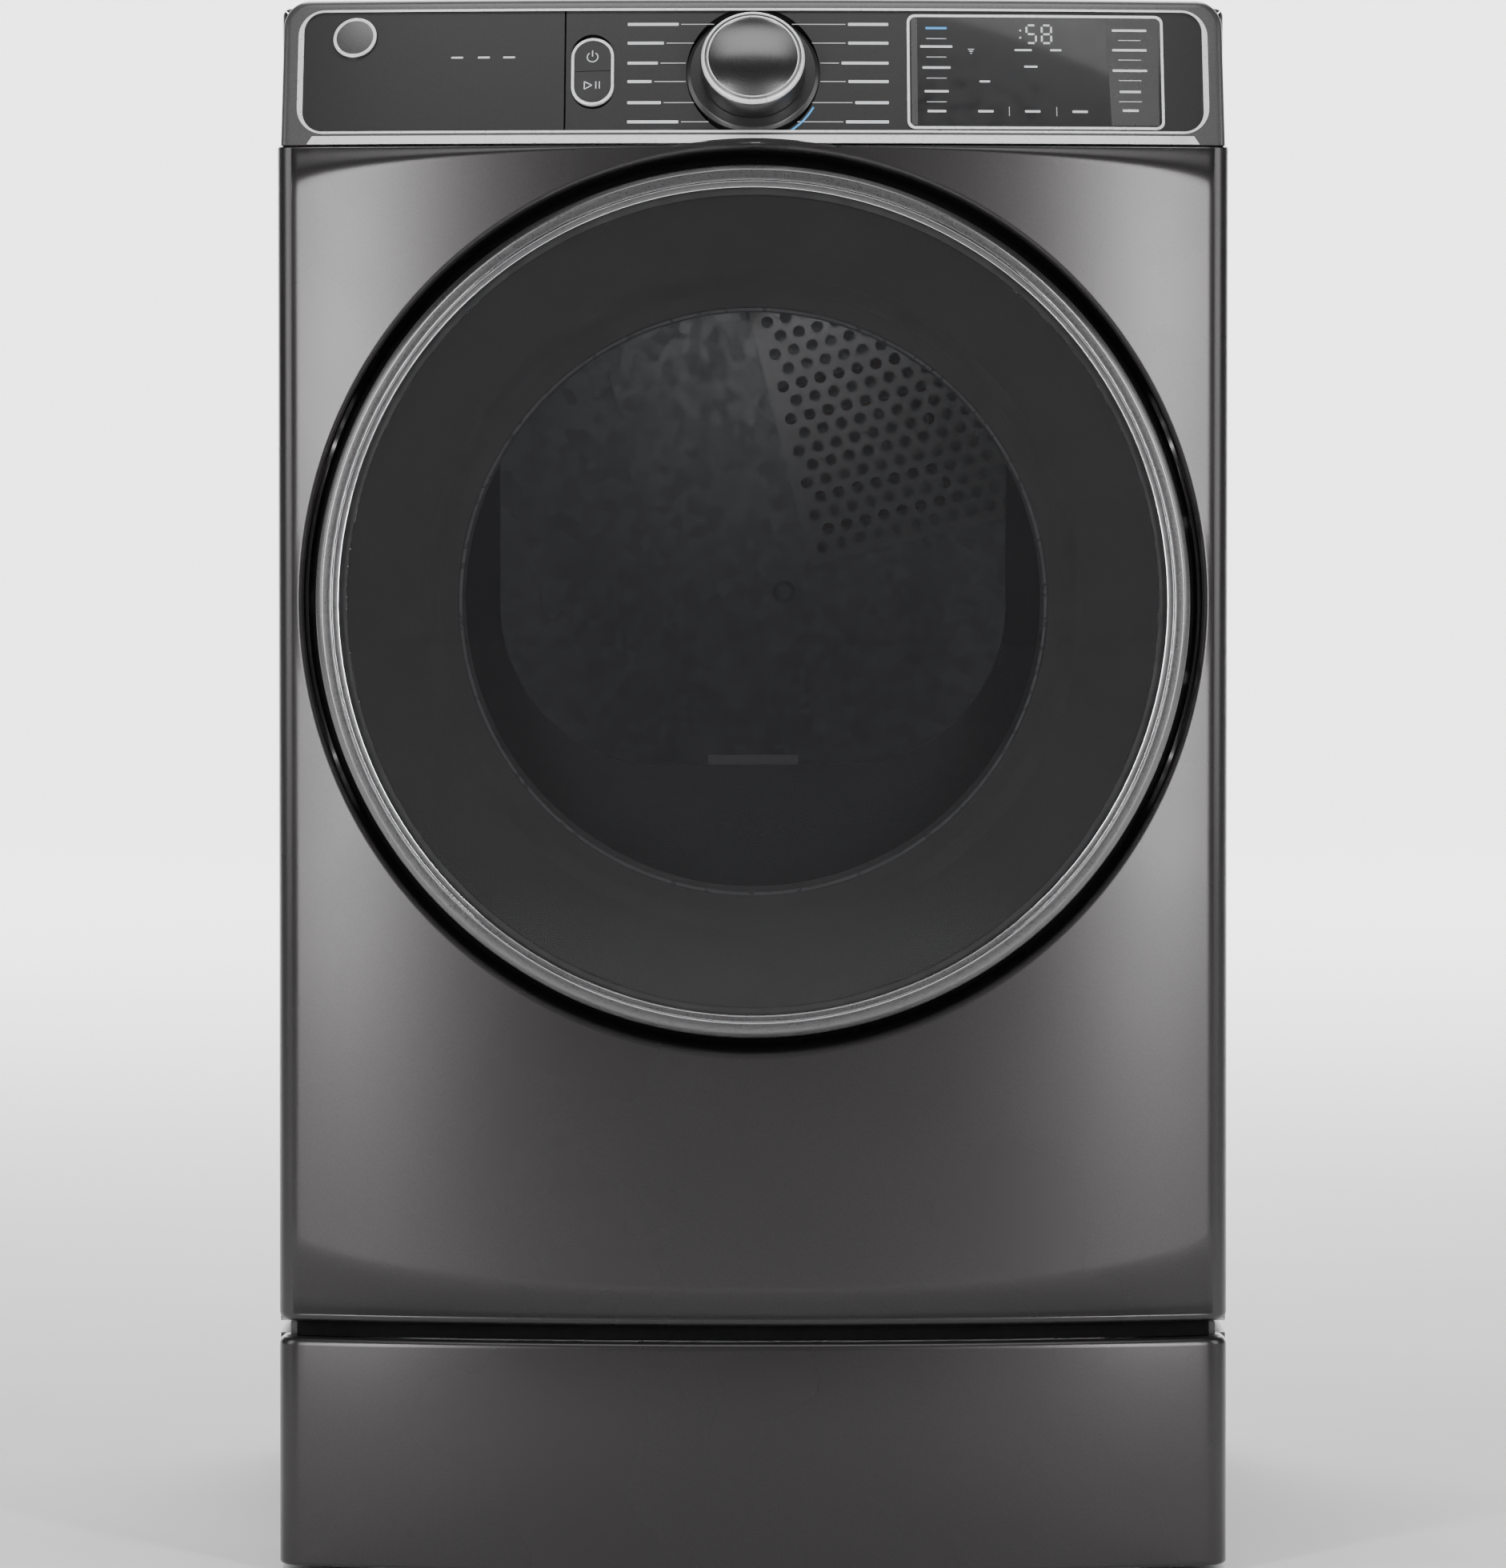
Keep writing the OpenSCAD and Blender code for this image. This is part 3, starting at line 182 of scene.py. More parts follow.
def lathe(name, profile, mat, body, centre=(0, 0), steps=192):
    """Turned piece about an axis along Y; the profile is a list of (radius, y)."""
    verts, rows = [], []
    for r, y in profile:
        if r < 1e-6:
            rows.append([len(verts)] * steps)
            verts.append((centre[0], y, centre[1]))
            continue
        rows.append(list(range(len(verts), len(verts) + steps)))
        for j in range(steps):
            a = 2 * math.pi * j / steps
            verts.append((centre[0] + r * math.cos(a), y, centre[1] + r * math.sin(a)))
    faces = []
    for lower, upper in zip(rows, rows[1:] + rows[:1]):
        for j in range(steps):
            k = (j + 1) % steps
            quad = []
            for v in (lower[j], lower[k], upper[k], upper[j]):
                if v not in quad:
                    quad.append(v)
            if len(quad) > 2:
                faces.append(quad)
    return add_mesh(name, verts, faces, mat, body)


def box_shape(lo, hi):
    """Points and faces of a block between two corners."""
    verts = [(x, y, z) for x in (lo[0], hi[0]) for y in (lo[1], hi[1]) for z in (lo[2], hi[2])]
    faces = [(0, 1, 3, 2), (4, 6, 7, 5), (0, 4, 5, 1), (2, 3, 7, 6), (0, 2, 6, 4), (1, 5, 7, 3)]
    return verts, faces


def use_modifiers(obj):
    """Bakes an object's modifiers into its mesh."""
    dg = bpy.context.evaluated_depsgraph_get()
    dg.update()
    mesh = bpy.data.meshes.new_from_object(obj.evaluated_get(dg), depsgraph=dg)
    obj.modifiers.clear()
    old = obj.data
    obj.data = mesh
    mesh.name = old.name
    bpy.data.meshes.remove(old)


def thicken(obj, depth):
    """Gives a sheet its thickness, inwards."""
    mod = obj.modifiers.new("thickness", "SOLIDIFY")
    mod.thickness = depth
    mod.offset = -1
    use_modifiers(obj)


def cut(obj, cutter):
    """Takes the cutter's shape out of obj and deletes the cutter."""
    mod = obj.modifiers.new("cut", "BOOLEAN")
    mod.object = cutter
    mod.solver = "EXACT"
    use_modifiers(obj)
    bpy.data.objects.remove(cutter)


def round_rims(obj, name, width, segments, angle, harden):
    """Rounds the edges that turn by more than the angle in degrees."""
    mod = obj.modifiers.new(name, "BEVEL")
    mod.width = width
    mod.segments = segments
    mod.limit_method = "ANGLE"
    mod.angle_limit = math.radians(angle)
    mod.harden_normals = harden


def spaced(a, b, n):
    """n + 1 numbers from a to b."""
    return [a + (b - a) * i / n for i in range(n + 1)]


# ---------- the bowed plan of the front ----------

class Plan:
    """Plan of the bowed front: a wide arc, two round corners and two straight returns."""

    def __init__(self, half=HALF, radius=BOW, apex=APEX, corner=CORNER):
        self.half, self.radius, self.apex, self.corner = half, radius, apex, corner
        self.cx = half - corner
        self.cy = apex + radius - math.sqrt((radius - corner) ** 2 - self.cx ** 2)
        self.turn = math.asin(self.cx / (radius - corner))
        self.bow = radius * self.turn
        self.end = self.bow + corner * (math.pi / 2 - self.turn)

    def at(self, s, inset=0.0):
        """Point at the distance s along the plan, moved inwards by inset."""
        a = abs(s)
        if a <= self.bow:
            ang, r = a / self.radius, self.radius - inset
            x, y = r * math.sin(ang), self.apex + self.radius - r * math.cos(ang)
        elif a <= self.end:
            ang, r = self.turn + (a - self.bow) / self.corner, self.corner - inset
            x, y = self.cx + r * math.sin(ang), self.cy - r * math.cos(ang)
        else:
            x, y = self.half - inset, self.cy + (a - self.end)
        return math.copysign(x, s), y

    def s_of(self, x):
        """Distance along the plan of the place at x."""
        a = abs(x)
        if a <= self.radius * math.sin(self.turn):
            s = self.radius * math.asin(a / self.radius)
        else:
            ang = math.asin(min(1, (a - self.cx) / self.corner))
            s = self.bow + self.corner * (ang - self.turn)
        return math.copysign(s, x)

    def samples(self, back, bow_n=60, corner_n=10):
        """Distances along the plan from one end to the other, finer at the corners."""
        side = spaced(0, self.bow, bow_n)[1:] + spaced(self.bow, self.end, corner_n)[1:]
        side.append(self.end + back)
        return [-s for s in reversed(side)] + [0.0] + side


def sweep_plan(name, plan, profile, back, mat):
    """Sheet whose section (inset, z) follows the plan of the front."""
    ss = plan.samples(back)
    verts = []
    for inset, z in profile:
        for s in ss:
            x, y = plan.at(s, inset)
            verts.append((x, y, z))
    return add_mesh(name, verts, grid_faces(len(profile), len(ss)), mat, sharp=35)


# ---------- materials ----------

def socket_default(shader, **values):
    """Sets the shader's own sockets by name, with underscores for spaces."""
    for key, value in values.items():
        shader.inputs[key.replace("_", " ")].default_value = value


def new_material(name, **values):
    """Material with one Principled shader; returns the material, its node tree and the shader."""
    mat = bpy.data.materials.new(name)
    mat.use_nodes = True
    tree = mat.node_tree
    shader = tree.nodes["Principled BSDF"]
    socket_default(shader, **values)
    return mat, tree, shader


def coords(tree, stretch=(1, 1, 1), centre=(0, 0, 0), turn=(0, 0, 0)):
    """Object coordinates, moved, turned and stretched."""
    place = tree.nodes.new("ShaderNodeTexCoord")
    mapping = tree.nodes.new("ShaderNodeMapping")
    mapping.vector_type = "TEXTURE"
    mapping.inputs["Location"].default_value = centre
    mapping.inputs["Rotation"].default_value = turn
    mapping.inputs["Scale"].default_value = stretch
    tree.links.new(place.outputs["Object"], mapping.inputs["Vector"])
    return mapping.outputs["Vector"]


def noise(tree, vector, scale, detail=3.0, rough=0.55):
    """Noise texture; returns its grey output."""
    tex = tree.nodes.new("ShaderNodeTexNoise")
    tex.inputs["Scale"].default_value = scale
    tex.inputs["Detail"].default_value = detail
    tex.inputs["Roughness"].default_value = rough
    tree.links.new(vector, tex.inputs["Vector"])
    return tex.outputs["Fac"]


def tones(tree, fac, dark, light, low=0.3, high=0.7):
    """Ramp between two tones."""
    ramp = tree.nodes.new("ShaderNodeValToRGB")
    ramp.color_ramp.elements[0].position = low
    ramp.color_ramp.elements[1].position = high
    ramp.color_ramp.elements[0].color = (*dark, 1)
    ramp.color_ramp.elements[1].color = (*light, 1)
    tree.links.new(fac, ramp.inputs["Fac"])
    return ramp.outputs["Color"]


def ranged(tree, fac, low, high):
    """Grey value mapped from the noise's usual spread to low and high."""
    node = tree.nodes.new("ShaderNodeMapRange")
    node.inputs["From Min"].default_value = 0.3
    node.inputs["From Max"].default_value = 0.7
    node.inputs["To Min"].default_value = low
    node.inputs["To Max"].default_value = high
    tree.links.new(fac, node.inputs["Value"])
    return node.outputs["Result"]


def bump(tree, shader, height, strength, distance=0.0002):
    """Small relief on the shader's normal."""
    node = tree.nodes.new("ShaderNodeBump")
    node.inputs["Strength"].default_value = strength
    node.inputs["Distance"].default_value = distance
    tree.links.new(height, node.inputs["Height"])
    tree.links.new(node.outputs["Normal"], shader.inputs["Normal"])


def shade(tone, k):
    """A tone made lighter or darker."""
    return tuple(min(1, c * k) for c in tone)


def finish_of(name, tone, rough=0.5, vary=0.08, patch=9, grain=0.0, grain_scale=900,
              stretch=(1, 1, 1), spread=0.06, **values):
    """A surface with soft patches of tone and roughness and, if grain is given, a fine relief."""
    mat, tree, shader = new_material(name, **values)
    vector = coords(tree, stretch)
    soft = noise(tree, vector, patch, 4.0)
    tree.links.new(tones(tree, soft, shade(tone, 1 - vary), shade(tone, 1 + vary)),
                   shader.inputs["Base Color"])
    wear = noise(tree, vector, patch * 5.3, 3.0)
    tree.links.new(ranged(tree, wear, max(0.02, rough - spread), rough + spread),
                   shader.inputs["Roughness"])
    if grain:
        bump(tree, shader, noise(tree, vector, grain_scale, 2.0), grain)
    return mat


def flake_paint(name, tone, metal=0.55, rough=0.42):
    """Metallic enamel: fine flakes of lighter and darker grey under a clear coat."""
    mat, tree, shader = new_material(name, Metallic=metal, Coat_Weight=0.35, Coat_Roughness=0.22)
    vector = coords(tree)
    flakes = tree.nodes.new("ShaderNodeTexVoronoi")
    flakes.inputs["Scale"].default_value = 1400
    tree.links.new(vector, flakes.inputs["Vector"])
    split = tree.nodes.new("ShaderNodeSeparateColor")
    tree.links.new(flakes.outputs["Color"], split.inputs["Color"])
    tree.links.new(tones(tree, split.outputs["Red"], shade(tone, 0.90), shade(tone, 1.12), 0.0, 1.0),
                   shader.inputs["Base Color"])
    patch = noise(tree, vector, 5, 3.0)
    tree.links.new(ranged(tree, patch, rough - 0.03, rough + 0.03), shader.inputs["Roughness"])
    bump(tree, shader, noise(tree, vector, 420, 2.0), 0.05, 0.0001)
    return mat


def brushed(name, tone, rough, stretch, vary=0.07, strength=0.12, **values):
    """Metal drawn in one direction: the noise is stretched along the strokes."""
    mat, tree, shader = new_material(name, Metallic=1.0, **values)
    vector = coords(tree, stretch)
    strokes = noise(tree, vector, 900, 4.0)
    tree.links.new(tones(tree, strokes, shade(tone, 1 - vary), shade(tone, 1 + vary)),
                   shader.inputs["Base Color"])
    tree.links.new(ranged(tree, strokes, rough - 0.04, rough + 0.05), shader.inputs["Roughness"])
    bump(tree, shader, strokes, strength, 0.00008)
    return mat


def turned_metal(name, tone, rough, pitch=2600, vary=0.10, **values):
    """Metal turned on a lathe: fine rings about the object's own Y axis."""
    mat, tree, shader = new_material(name, Metallic=1.0, **values)
    vector = coords(tree, (1, 1e6, 1))
    length = tree.nodes.new("ShaderNodeVectorMath")
    length.operation = "LENGTH"
    tree.links.new(vector, length.inputs[0])
    rings = tree.nodes.new("ShaderNodeTexNoise")
    rings.noise_dimensions = "1D"
    rings.inputs["Scale"].default_value = pitch
    rings.inputs["Detail"].default_value = 2.0
    tree.links.new(length.outputs["Value"], rings.inputs["W"])
    fac = rings.outputs["Fac"]
    tree.links.new(tones(tree, fac, shade(tone, 1 - vary), shade(tone, 1 + vary)),
                   shader.inputs["Base Color"])
    tree.links.new(ranged(tree, fac, rough - 0.05, rough + 0.05), shader.inputs["Roughness"])
    bump(tree, shader, fac, 0.15, 0.00006)
    return mat


def galvanised():
    """Zinc coated steel with the large spangle of hot dipping."""
    mat, tree, shader = new_material("galvanized", Metallic=0.9)
    vector = coords(tree)
    cells = tree.nodes.new("ShaderNodeTexVoronoi")
    cells.inputs["Scale"].default_value = 90
    tree.links.new(vector, cells.inputs["Vector"])
    split = tree.nodes.new("ShaderNodeSeparateColor")
    tree.links.new(cells.outputs["Color"], split.inputs["Color"])
    tree.links.new(tones(tree, split.outputs["Red"], (0.30, 0.31, 0.32), (0.42, 0.43, 0.44), 0, 1),
                   shader.inputs["Base Color"])
    tree.links.new(ranged(tree, split.outputs["Green"], 0.36, 0.46), shader.inputs["Roughness"])
    return mat


def tinted_glass(name, tint, rough, cloud, cover):
    """Thin pane that covers part of what is behind it, with a faint change of tone and roughness."""
    mat, tree, shader = new_material(name, Alpha=cover, IOR=1.6)
    vector = coords(tree)
    soft = noise(tree, vector, 7, 3.0)
    tree.links.new(tones(tree, soft, shade(tint, 0.96), tint), shader.inputs["Base Color"])
    tree.links.new(ranged(tree, soft, rough, rough + cloud), shader.inputs["Roughness"])
    return mat


def mesh_sheet():
    """Filter gauze: a fine woven grid with open squares."""
    mat, tree, shader = new_material("filter_mesh", Metallic=0.6)
    vector = coords(tree, turn=(math.pi / 2, 0, 0))
    weave = tree.nodes.new("ShaderNodeTexBrick")
    weave.offset = 0
    weave.inputs["Scale"].default_value = 1
    weave.inputs["Brick Width"].default_value = 0.002
    weave.inputs["Row Height"].default_value = 0.002
    weave.inputs["Mortar Size"].default_value = 0.00035
    tree.links.new(vector, weave.inputs["Vector"])
    tree.links.new(tones(tree, noise(tree, vector, 300), (0.30, 0.30, 0.31), (0.42, 0.42, 0.43)),
                   shader.inputs["Base Color"])
    tree.links.new(ranged(tree, weave.outputs["Fac"], 0.55, 0.35), shader.inputs["Roughness"])
    tree.links.new(ranged(tree, weave.outputs["Fac"], 0.45, 1.0), shader.inputs["Alpha"])
    bump(tree, shader, weave.outputs["Fac"], 0.6, 0.0003)
    return mat


PAINT_FRONT = flake_paint("painted_front", (0.038, 0.0355, 0.0365), 0.65, 0.28)
PAINT_SIDE = flake_paint("painted_side", (0.080, 0.076, 0.078), 0.5, 0.42)
RISER_PAINT = flake_paint("riser_paint", (0.034, 0.0315, 0.0325), 0.65, 0.28)
# Near-black colour for the strip in the recess between riser and body: painted shade.
PAINTED_GAP_SHADE = finish_of("painted_gap_shade", (0.003, 0.003, 0.003), 0.8, 0.2, 30, 0.1, 400, Specular_IOR_Level=0.1)
FACE = flake_paint("console_face", (0.024, 0.0236, 0.0240), 0.4, 0.38)
BORDER = flake_paint("console_border", (0.125, 0.122, 0.124), 0.7, 0.34)
RING_METAL = brushed("ring_metal", (0.19, 0.187, 0.19), 0.30, (1, 1, 1), 0.04, 0.03)
# Bright metal for the thin ring on the door ring's crease, a painted highlight, and for the ring's inner
# edge.
RING_CHROME_AND_HIGHLIGHT = finish_of("ring_chrome_and_highlight", (0.78, 0.78, 0.79), 0.12, 0.03, 30, spread=0.03, Metallic=1.0)
SPUN = turned_metal("spun_metal", (0.15, 0.148, 0.15), 0.28, Anisotropic=0.6)
BLACK = finish_of("black_plastic", (0.022, 0.022, 0.023), 0.35, 0.15, 20, 0.15, 1500)
BLACK_MATT = finish_of("black_matt", (0.012, 0.012, 0.012), 0.6, 0.15, 20, 0.3, 1200)
GREY_PLASTIC = finish_of("grey_plastic", (0.16, 0.16, 0.165), 0.5, 0.06, 12, 0.25, 1300)
WHITE_PLASTIC = finish_of("white_plastic", (0.62, 0.62, 0.60), 0.5, 0.04, 12, 0.2, 1300)
RUBBER = finish_of("rubber", (0.018, 0.018, 0.019), 0.72, 0.15, 14, 0.4, 800)
FELT = finish_of("felt", (0.10, 0.095, 0.09), 0.95, 0.25, 220, 0.9, 2600)
STEEL = brushed("drum_steel", (0.50, 0.50, 0.51), 0.30, (1, 0.02, 1), 0.06, 0.10)
MACHINE = brushed("machine_steel", (0.42, 0.42, 0.43), 0.34, (1, 0.05, 1), 0.08, 0.15)
DARK_METAL = finish_of("dark_metal", (0.045, 0.045, 0.048), 0.45, 0.15, 25, 0.2, 700, Metallic=0.7)
BOARD = finish_of("board", (0.012, 0.085, 0.035), 0.42, 0.15, 60, 0.2, 600, Coat_Weight=0.3)
HARNESS = finish_of("harness", (0.50, 0.10, 0.03), 0.5, 0.15, 40, 0.2, 900)
WATER_BLUE = finish_of("water_blue", (0.03, 0.10, 0.42), 0.4, 0.08, 20, 0.15, 900)
HOSE = finish_of("hose", (0.06, 0.06, 0.065), 0.55, 0.12, 20, 0.3, 800)
HEATER_WIRE = finish_of("heater_wire", (0.22, 0.13, 0.09), 0.5, 0.25, 60, 0.2, 900, Metallic=0.8)
# Real chrome trim given a pale, mostly non-metal base colour: painted reflection of the bright studio.
CHROME_PAINTED_SHEEN = finish_of("chrome_painted_sheen", (0.85, 0.85, 0.86), 0.30, 0.03, 25, spread=0.05, Metallic=0.35)
MARK = finish_of("printed_mark", (0.62, 0.63, 0.65), 0.5, 0.05, 60)
MARK_BLUE = finish_of("printed_blue", (0.06, 0.33, 0.72), 0.5, 0.08, 60)
PRINT = finish_of("pane_print", (0.046, 0.046, 0.047), 0.45, 0.06, 12, 0.1, 1500)
PANEL_BLACK = finish_of("display_black", (0.012, 0.012, 0.013), 0.2, 0.10, 15, Coat_Weight=0.5)
STRIP = finish_of("display_strip", (0.075, 0.074, 0.075), 0.3, 0.06, 15, Metallic=0.4)
# Lighter grey ring on the pane: painted highlight of the inner frame's curved lip seen through the glass.
LIP_HIGHLIGHT_BAND = finish_of("pane_lip_highlight", (0.085, 0.085, 0.087), 0.35, 0.1, 20, spread=0.05, Metallic=0.5)
# Thin bright ring on the pane: painted highlight on the window's edge seen through the glass.
WINDOW_EDGE_HIGHLIGHT = finish_of("window_edge_painted_highlight", (0.20, 0.20, 0.21), 0.3, 0.1, 30, Metallic=0.6)
GALVANISED = galvanised()
PANE = tinted_glass("door_glass", (0.016, 0.016, 0.017), 0.02, 0.03, 0.35)
BOWL = tinted_glass("window_glass", (0.10, 0.10, 0.11), 0.02, 0.03, 0.15)
GAUZE = mesh_sheet()


# ---------- shapes on the tilted console face ----------

SIN_T, COS_T = math.sin(TILT), math.cos(TILT)
SLICE = 12 * MM            # widest flat facet of a plate that follows the bow


def face_point(x, h, inset=0.0):
    """Point on the bowed face at x across and h above the console's lower edge, inset into it."""
    deep = FACE_R - math.sqrt(max(0, (FACE_R - inset) ** 2 - x * x))
    along = (h + deep * SIN_T) / COS_T
    return Vector((x, APEX + deep * COS_T + along * SIN_T, CON_Z - deep * SIN_T + along * COS_T))


def face_frame(x, u, inset=0.0):
    """Matrix of a frame on the face, square to it, with Y going in and Z up."""
    yaw = math.asin(x / FACE_R)
    turn = Matrix.Rotation(-TILT, 4, "X") @ Matrix.Rotation(yaw, 4, "Z")
    place = face_point(x, u * COS_T)
    return Matrix.Translation(place) @ turn @ Matrix.Translation((0, inset, 0))


def round_box(w, h, r, cx=0.0, cy=0.0, steps=6):
    """Outline of a rectangle with round corners; r is one radius or four."""
    pts = [(cx - w / 2, cy - h / 2), (cx + w / 2, cy - h / 2),
           (cx + w / 2, cy + h / 2), (cx - w / 2, cy + h / 2)]
    return rounded(pts, r, closed=True, steps=steps)


def circle_2d(r, cx=0.0, cy=0.0, steps=64):
    """Outline of a circle."""
    return [(cx + r * math.cos(2 * math.pi * i / steps), cy + r * math.sin(2 * math.pi * i / steps))
            for i in range(steps)]


def stadium(w, h, cx=0.0, cy=0.0, steps=24):
    """Outline of an upright slot with round ends."""
    r, rise = w / 2, (h - w) / 2
    turns = [math.pi * i / steps for i in range(steps + 1)]
    top = [(cx + r * math.cos(t), cy + rise + r * math.sin(t)) for t in turns]
    return top + [(2 * cx - x, 2 * cy - y) for x, y in top]


def flat_shape(outlines):
    """Flat bmesh in X and Z filled between the first outline and the others, which are holes."""
    bm = bmesh.new()
    for outline in outlines:
        ring = [bm.verts.new((p[0], 0, p[1])) for p in outline]
        for a, b in zip(ring, ring[1:] + ring[:1]):
            bm.edges.new((a, b))
    bmesh.ops.remove_doubles(bm, verts=bm.verts, dist=1e-7)
    bmesh.ops.triangle_fill(bm, use_beauty=True, use_dissolve=False, edges=bm.edges)
    return bm


def slice_shape(bm, cuts):
    """Cuts a flat shape at each place in X, so that it can follow a bow."""
    for x in cuts:
        bmesh.ops.bisect_plane(bm, geom=bm.verts[:] + bm.edges[:] + bm.faces[:], dist=1e-7,
                               plane_co=(x, 0, 0), plane_no=(1, 0, 0))


def plate_shape(bm, front, back):
    """Points and faces of a plate from a flat shape; front and back place a flat point on its two sides."""
    bm.verts.index_update()
    flat = [v.co.copy() for v in bm.verts]
    tris = [[v.index for v in f.verts] for f in bm.faces]
    rim = [(e.verts[0].index, e.verts[1].index) for e in bm.edges if len(e.link_faces) == 1]
    bm.free()
    k = len(flat)
    verts = [front(p) for p in flat] + [back(p) for p in flat]
    faces = tris + [[i + k for i in reversed(f)] for f in tris] + [(a, b, b + k, a + k) for a, b in rim]
    return verts, faces


def face_plate(name, outlines, inset, depth, mat, edge=0.0):
    """Plate lying on the bowed face between two depths; edge is the radius of its rim."""
    bm = flat_shape(outlines)
    xs = [v.co.x for v in bm.verts]
    n = int((max(xs) - min(xs)) / SLICE) + 1
    slice_shape(bm, spaced(min(xs), max(xs), n)[1:-1])
    shape = plate_shape(bm, lambda p: face_point(p.x, p.z, inset),
                        lambda p: face_point(p.x, p.z, inset + depth))
    obj = add_mesh(name, *shape, mat, sharp=30)
    if edge:
        round_rims(obj, "rim", edge, 3, 50, True)
        use_modifiers(obj)
    return obj


def joined(name, objs):
    """Makes one object of several, with the first one's material and body."""
    verts, faces, base = [], [], 0
    for o in objs:
        world = o.matrix_world
        verts += [world @ v.co for v in o.data.vertices]
        faces += [[i + base for i in p.vertices] for p in o.data.polygons]
        base = len(verts)
    mat = objs[0].data.materials[0]
    body = objs[0]["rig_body"]
    for o in objs:
        bpy.data.objects.remove(o)
    return add_mesh(name, verts, faces, mat, body, sharp=35)


# ---------- front panel, riser and side edges ----------

plan = Plan()
BACK = PANEL_HI.y - plan.cy  # straight return behind each round corner
SKIN = 0.96 * MM


def y_at(x):
    """Depth of the bowed front at x."""
    return plan.at(plan.s_of(x))[1]


def make_front_panel():
    """Bowed sheet with the round dish, a turned-under bottom and a turned top."""
    z0, z1 = PANEL_LO.z, PANEL_HI.z
    under, top_r = 6 * MM, 1.6 * MM
    lip = 5 * MM
    hole = DISH_R + lip
    flat = hole + 4 * MM
    end = plan.end + BACK
    steps = 240
    across = [flat * math.cos(2 * math.pi * i / steps) for i in range(steps // 2, -1, -1)]
    inner = [plan.s_of(x) for x in across]
    outer = [s for s in plan.samples(BACK) if s > inner[-1] + 0.5 * MM]
    columns = [(-s, 0.0) for s in reversed(outer)]
    columns += [(s, math.sqrt(max(0, flat * flat - x * x))) for s, x in zip(inner, across)]
    columns += [(s, 0.0) for s in outer]
    bands = []
    for name, side, edge in (("panel_upper", 1, z1 - top_r), ("panel_lower", -1, z0 + under)):
        verts = []
        for k in spaced(0, 1, 8):
            for s, reach in columns:
                start = DOOR_Z + side * reach
                verts.append((*plan.at(s), start + (edge - start) * k))
        bands.append(add_mesh(name, verts, grid_faces(9, len(columns)), PAINT_FRONT))
    section = [(flat, 0.0, 1.0), (hole + 0.5 * MM, 0.0, 1.0)]
    for t in spaced(0, math.pi / 2, 8):
        section.append((hole - lip * math.sin(t), lip * (1 - math.cos(t)), 1.0))
    floor_r = 8 * MM
    wall_r = DISH_R - 3 * MM
    for t in spaced(0, math.pi / 2, 8):
        section.append((wall_r - floor_r * (1 - math.cos(t)), -floor_r * (1 - math.sin(t)), 0.0))
    section += [(r, 0.0, 0.0) for r in spaced(wall_r - floor_r, MOUTH_R, 4)[1:]]
    section.append((MOUTH_R, 4 * MM, 0.0))
    verts = []
    for r, off, on_bow in section:
        for i in range(steps):
            a = 2 * math.pi * i / steps
            x, z = r * math.cos(a), DOOR_Z + r * math.sin(a)
            y = (y_at(x) if on_bow else DISH_Y) + off
            verts.append((x, y, z))
    dish = add_mesh("panel_dish", verts, grid_faces(len(section), steps, True), PAINT_FRONT)
    low = [(under * (1 - math.cos(t)), z0 + under * (1 - math.sin(t))) for t in spaced(0, math.pi / 2, 8)]
    low.append((16 * MM, z0))
    high = [(top_r * (1 - math.cos(t)), z1 - top_r * (1 - math.sin(t))) for t in spaced(0, math.pi / 2, 5)]
    high.append((8 * MM, z1))
    bottom = sweep_plan("panel_low", plan, low, BACK, PAINT_FRONT)
    top = sweep_plan("panel_high", plan, high, BACK, PAINT_FRONT)
    panel = joined("front_panel_skin", [*bands, dish, bottom, top])
    thicken(panel, SKIN)
    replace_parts(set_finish(panel, "painted_front"), "front_panel")


def make_riser_front():
    """Bowed front of the riser with its top lip and turned bottom."""
    z0, z1 = RISER_LO.z, RISER_HI.z
    r1, r0 = 6 * MM, 3 * MM
    section = [(17 * MM, z1)]
    section += [(r1 * (1 - math.sin(t)), z1 - r1 * (1 - math.cos(t))) for t in spaced(0, math.pi / 2, 8)]
    section += [(r0 * (1 - math.cos(t)), z0 + r0 * (1 - math.sin(t))) for t in spaced(0, math.pi / 2, 6)]
    section.append((17 * MM, z0))
    skin = sweep_plan("riser_front_skin", plan, section, BACK, RISER_PAINT)
    thicken(skin, SKIN)
    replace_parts(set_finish(skin, "painted_front"), "riser_front")


def make_shadow_strip():
    """Near-black strip that closes the recess between the riser and the body: painted shade where the recess
    is in shadow.
    """
    z0, z1 = RISER_HI.z + 0.2 * MM, PANEL_LO.z + 1.2 * MM
    front, back = 13 * MM, 15 * MM
    section = [(front, z0), (front, z1), (back, z1), (back, z0), (front, z0)]
    strip = sweep_plan("recess_shade_strip", plan, section, BACK, PAINTED_GAP_SHADE)
    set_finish(strip, "black_plastic")


make_front_panel()
make_riser_front()
make_shadow_strip()


# ---------- console ----------

FACE_H0, FACE_H1 = 9.3 * MM * COS_T, 114.1 * MM * COS_T
FRAME_X = 341 * MM
FRAME_CORNER = 20 * MM
HOUSE_HALF = HOUSE_HI.x
HOUSE_H = CON_TOP - CON_Z
HOUSE_CORNER = 20 * MM
HOUSE_BACK = HOUSE_HI.y
SPLIT_X = -140 * MM
SEAM = 0.6 * MM            # half of the seam between the two fascias
FASCIA_IN = 1.2 * MM
FASCIA_T = 2.4 * MM
FASCIA_GAP = 1.9 * MM
SKIRT_OUT = 1.5            # how far the knob's skirt stands out, in mm as all turned profiles
SKIRT_R = 49.5 * MM
DISPLAY_W, DISPLAY_H = 192.5 * MM, 96.7 * MM * COS_T


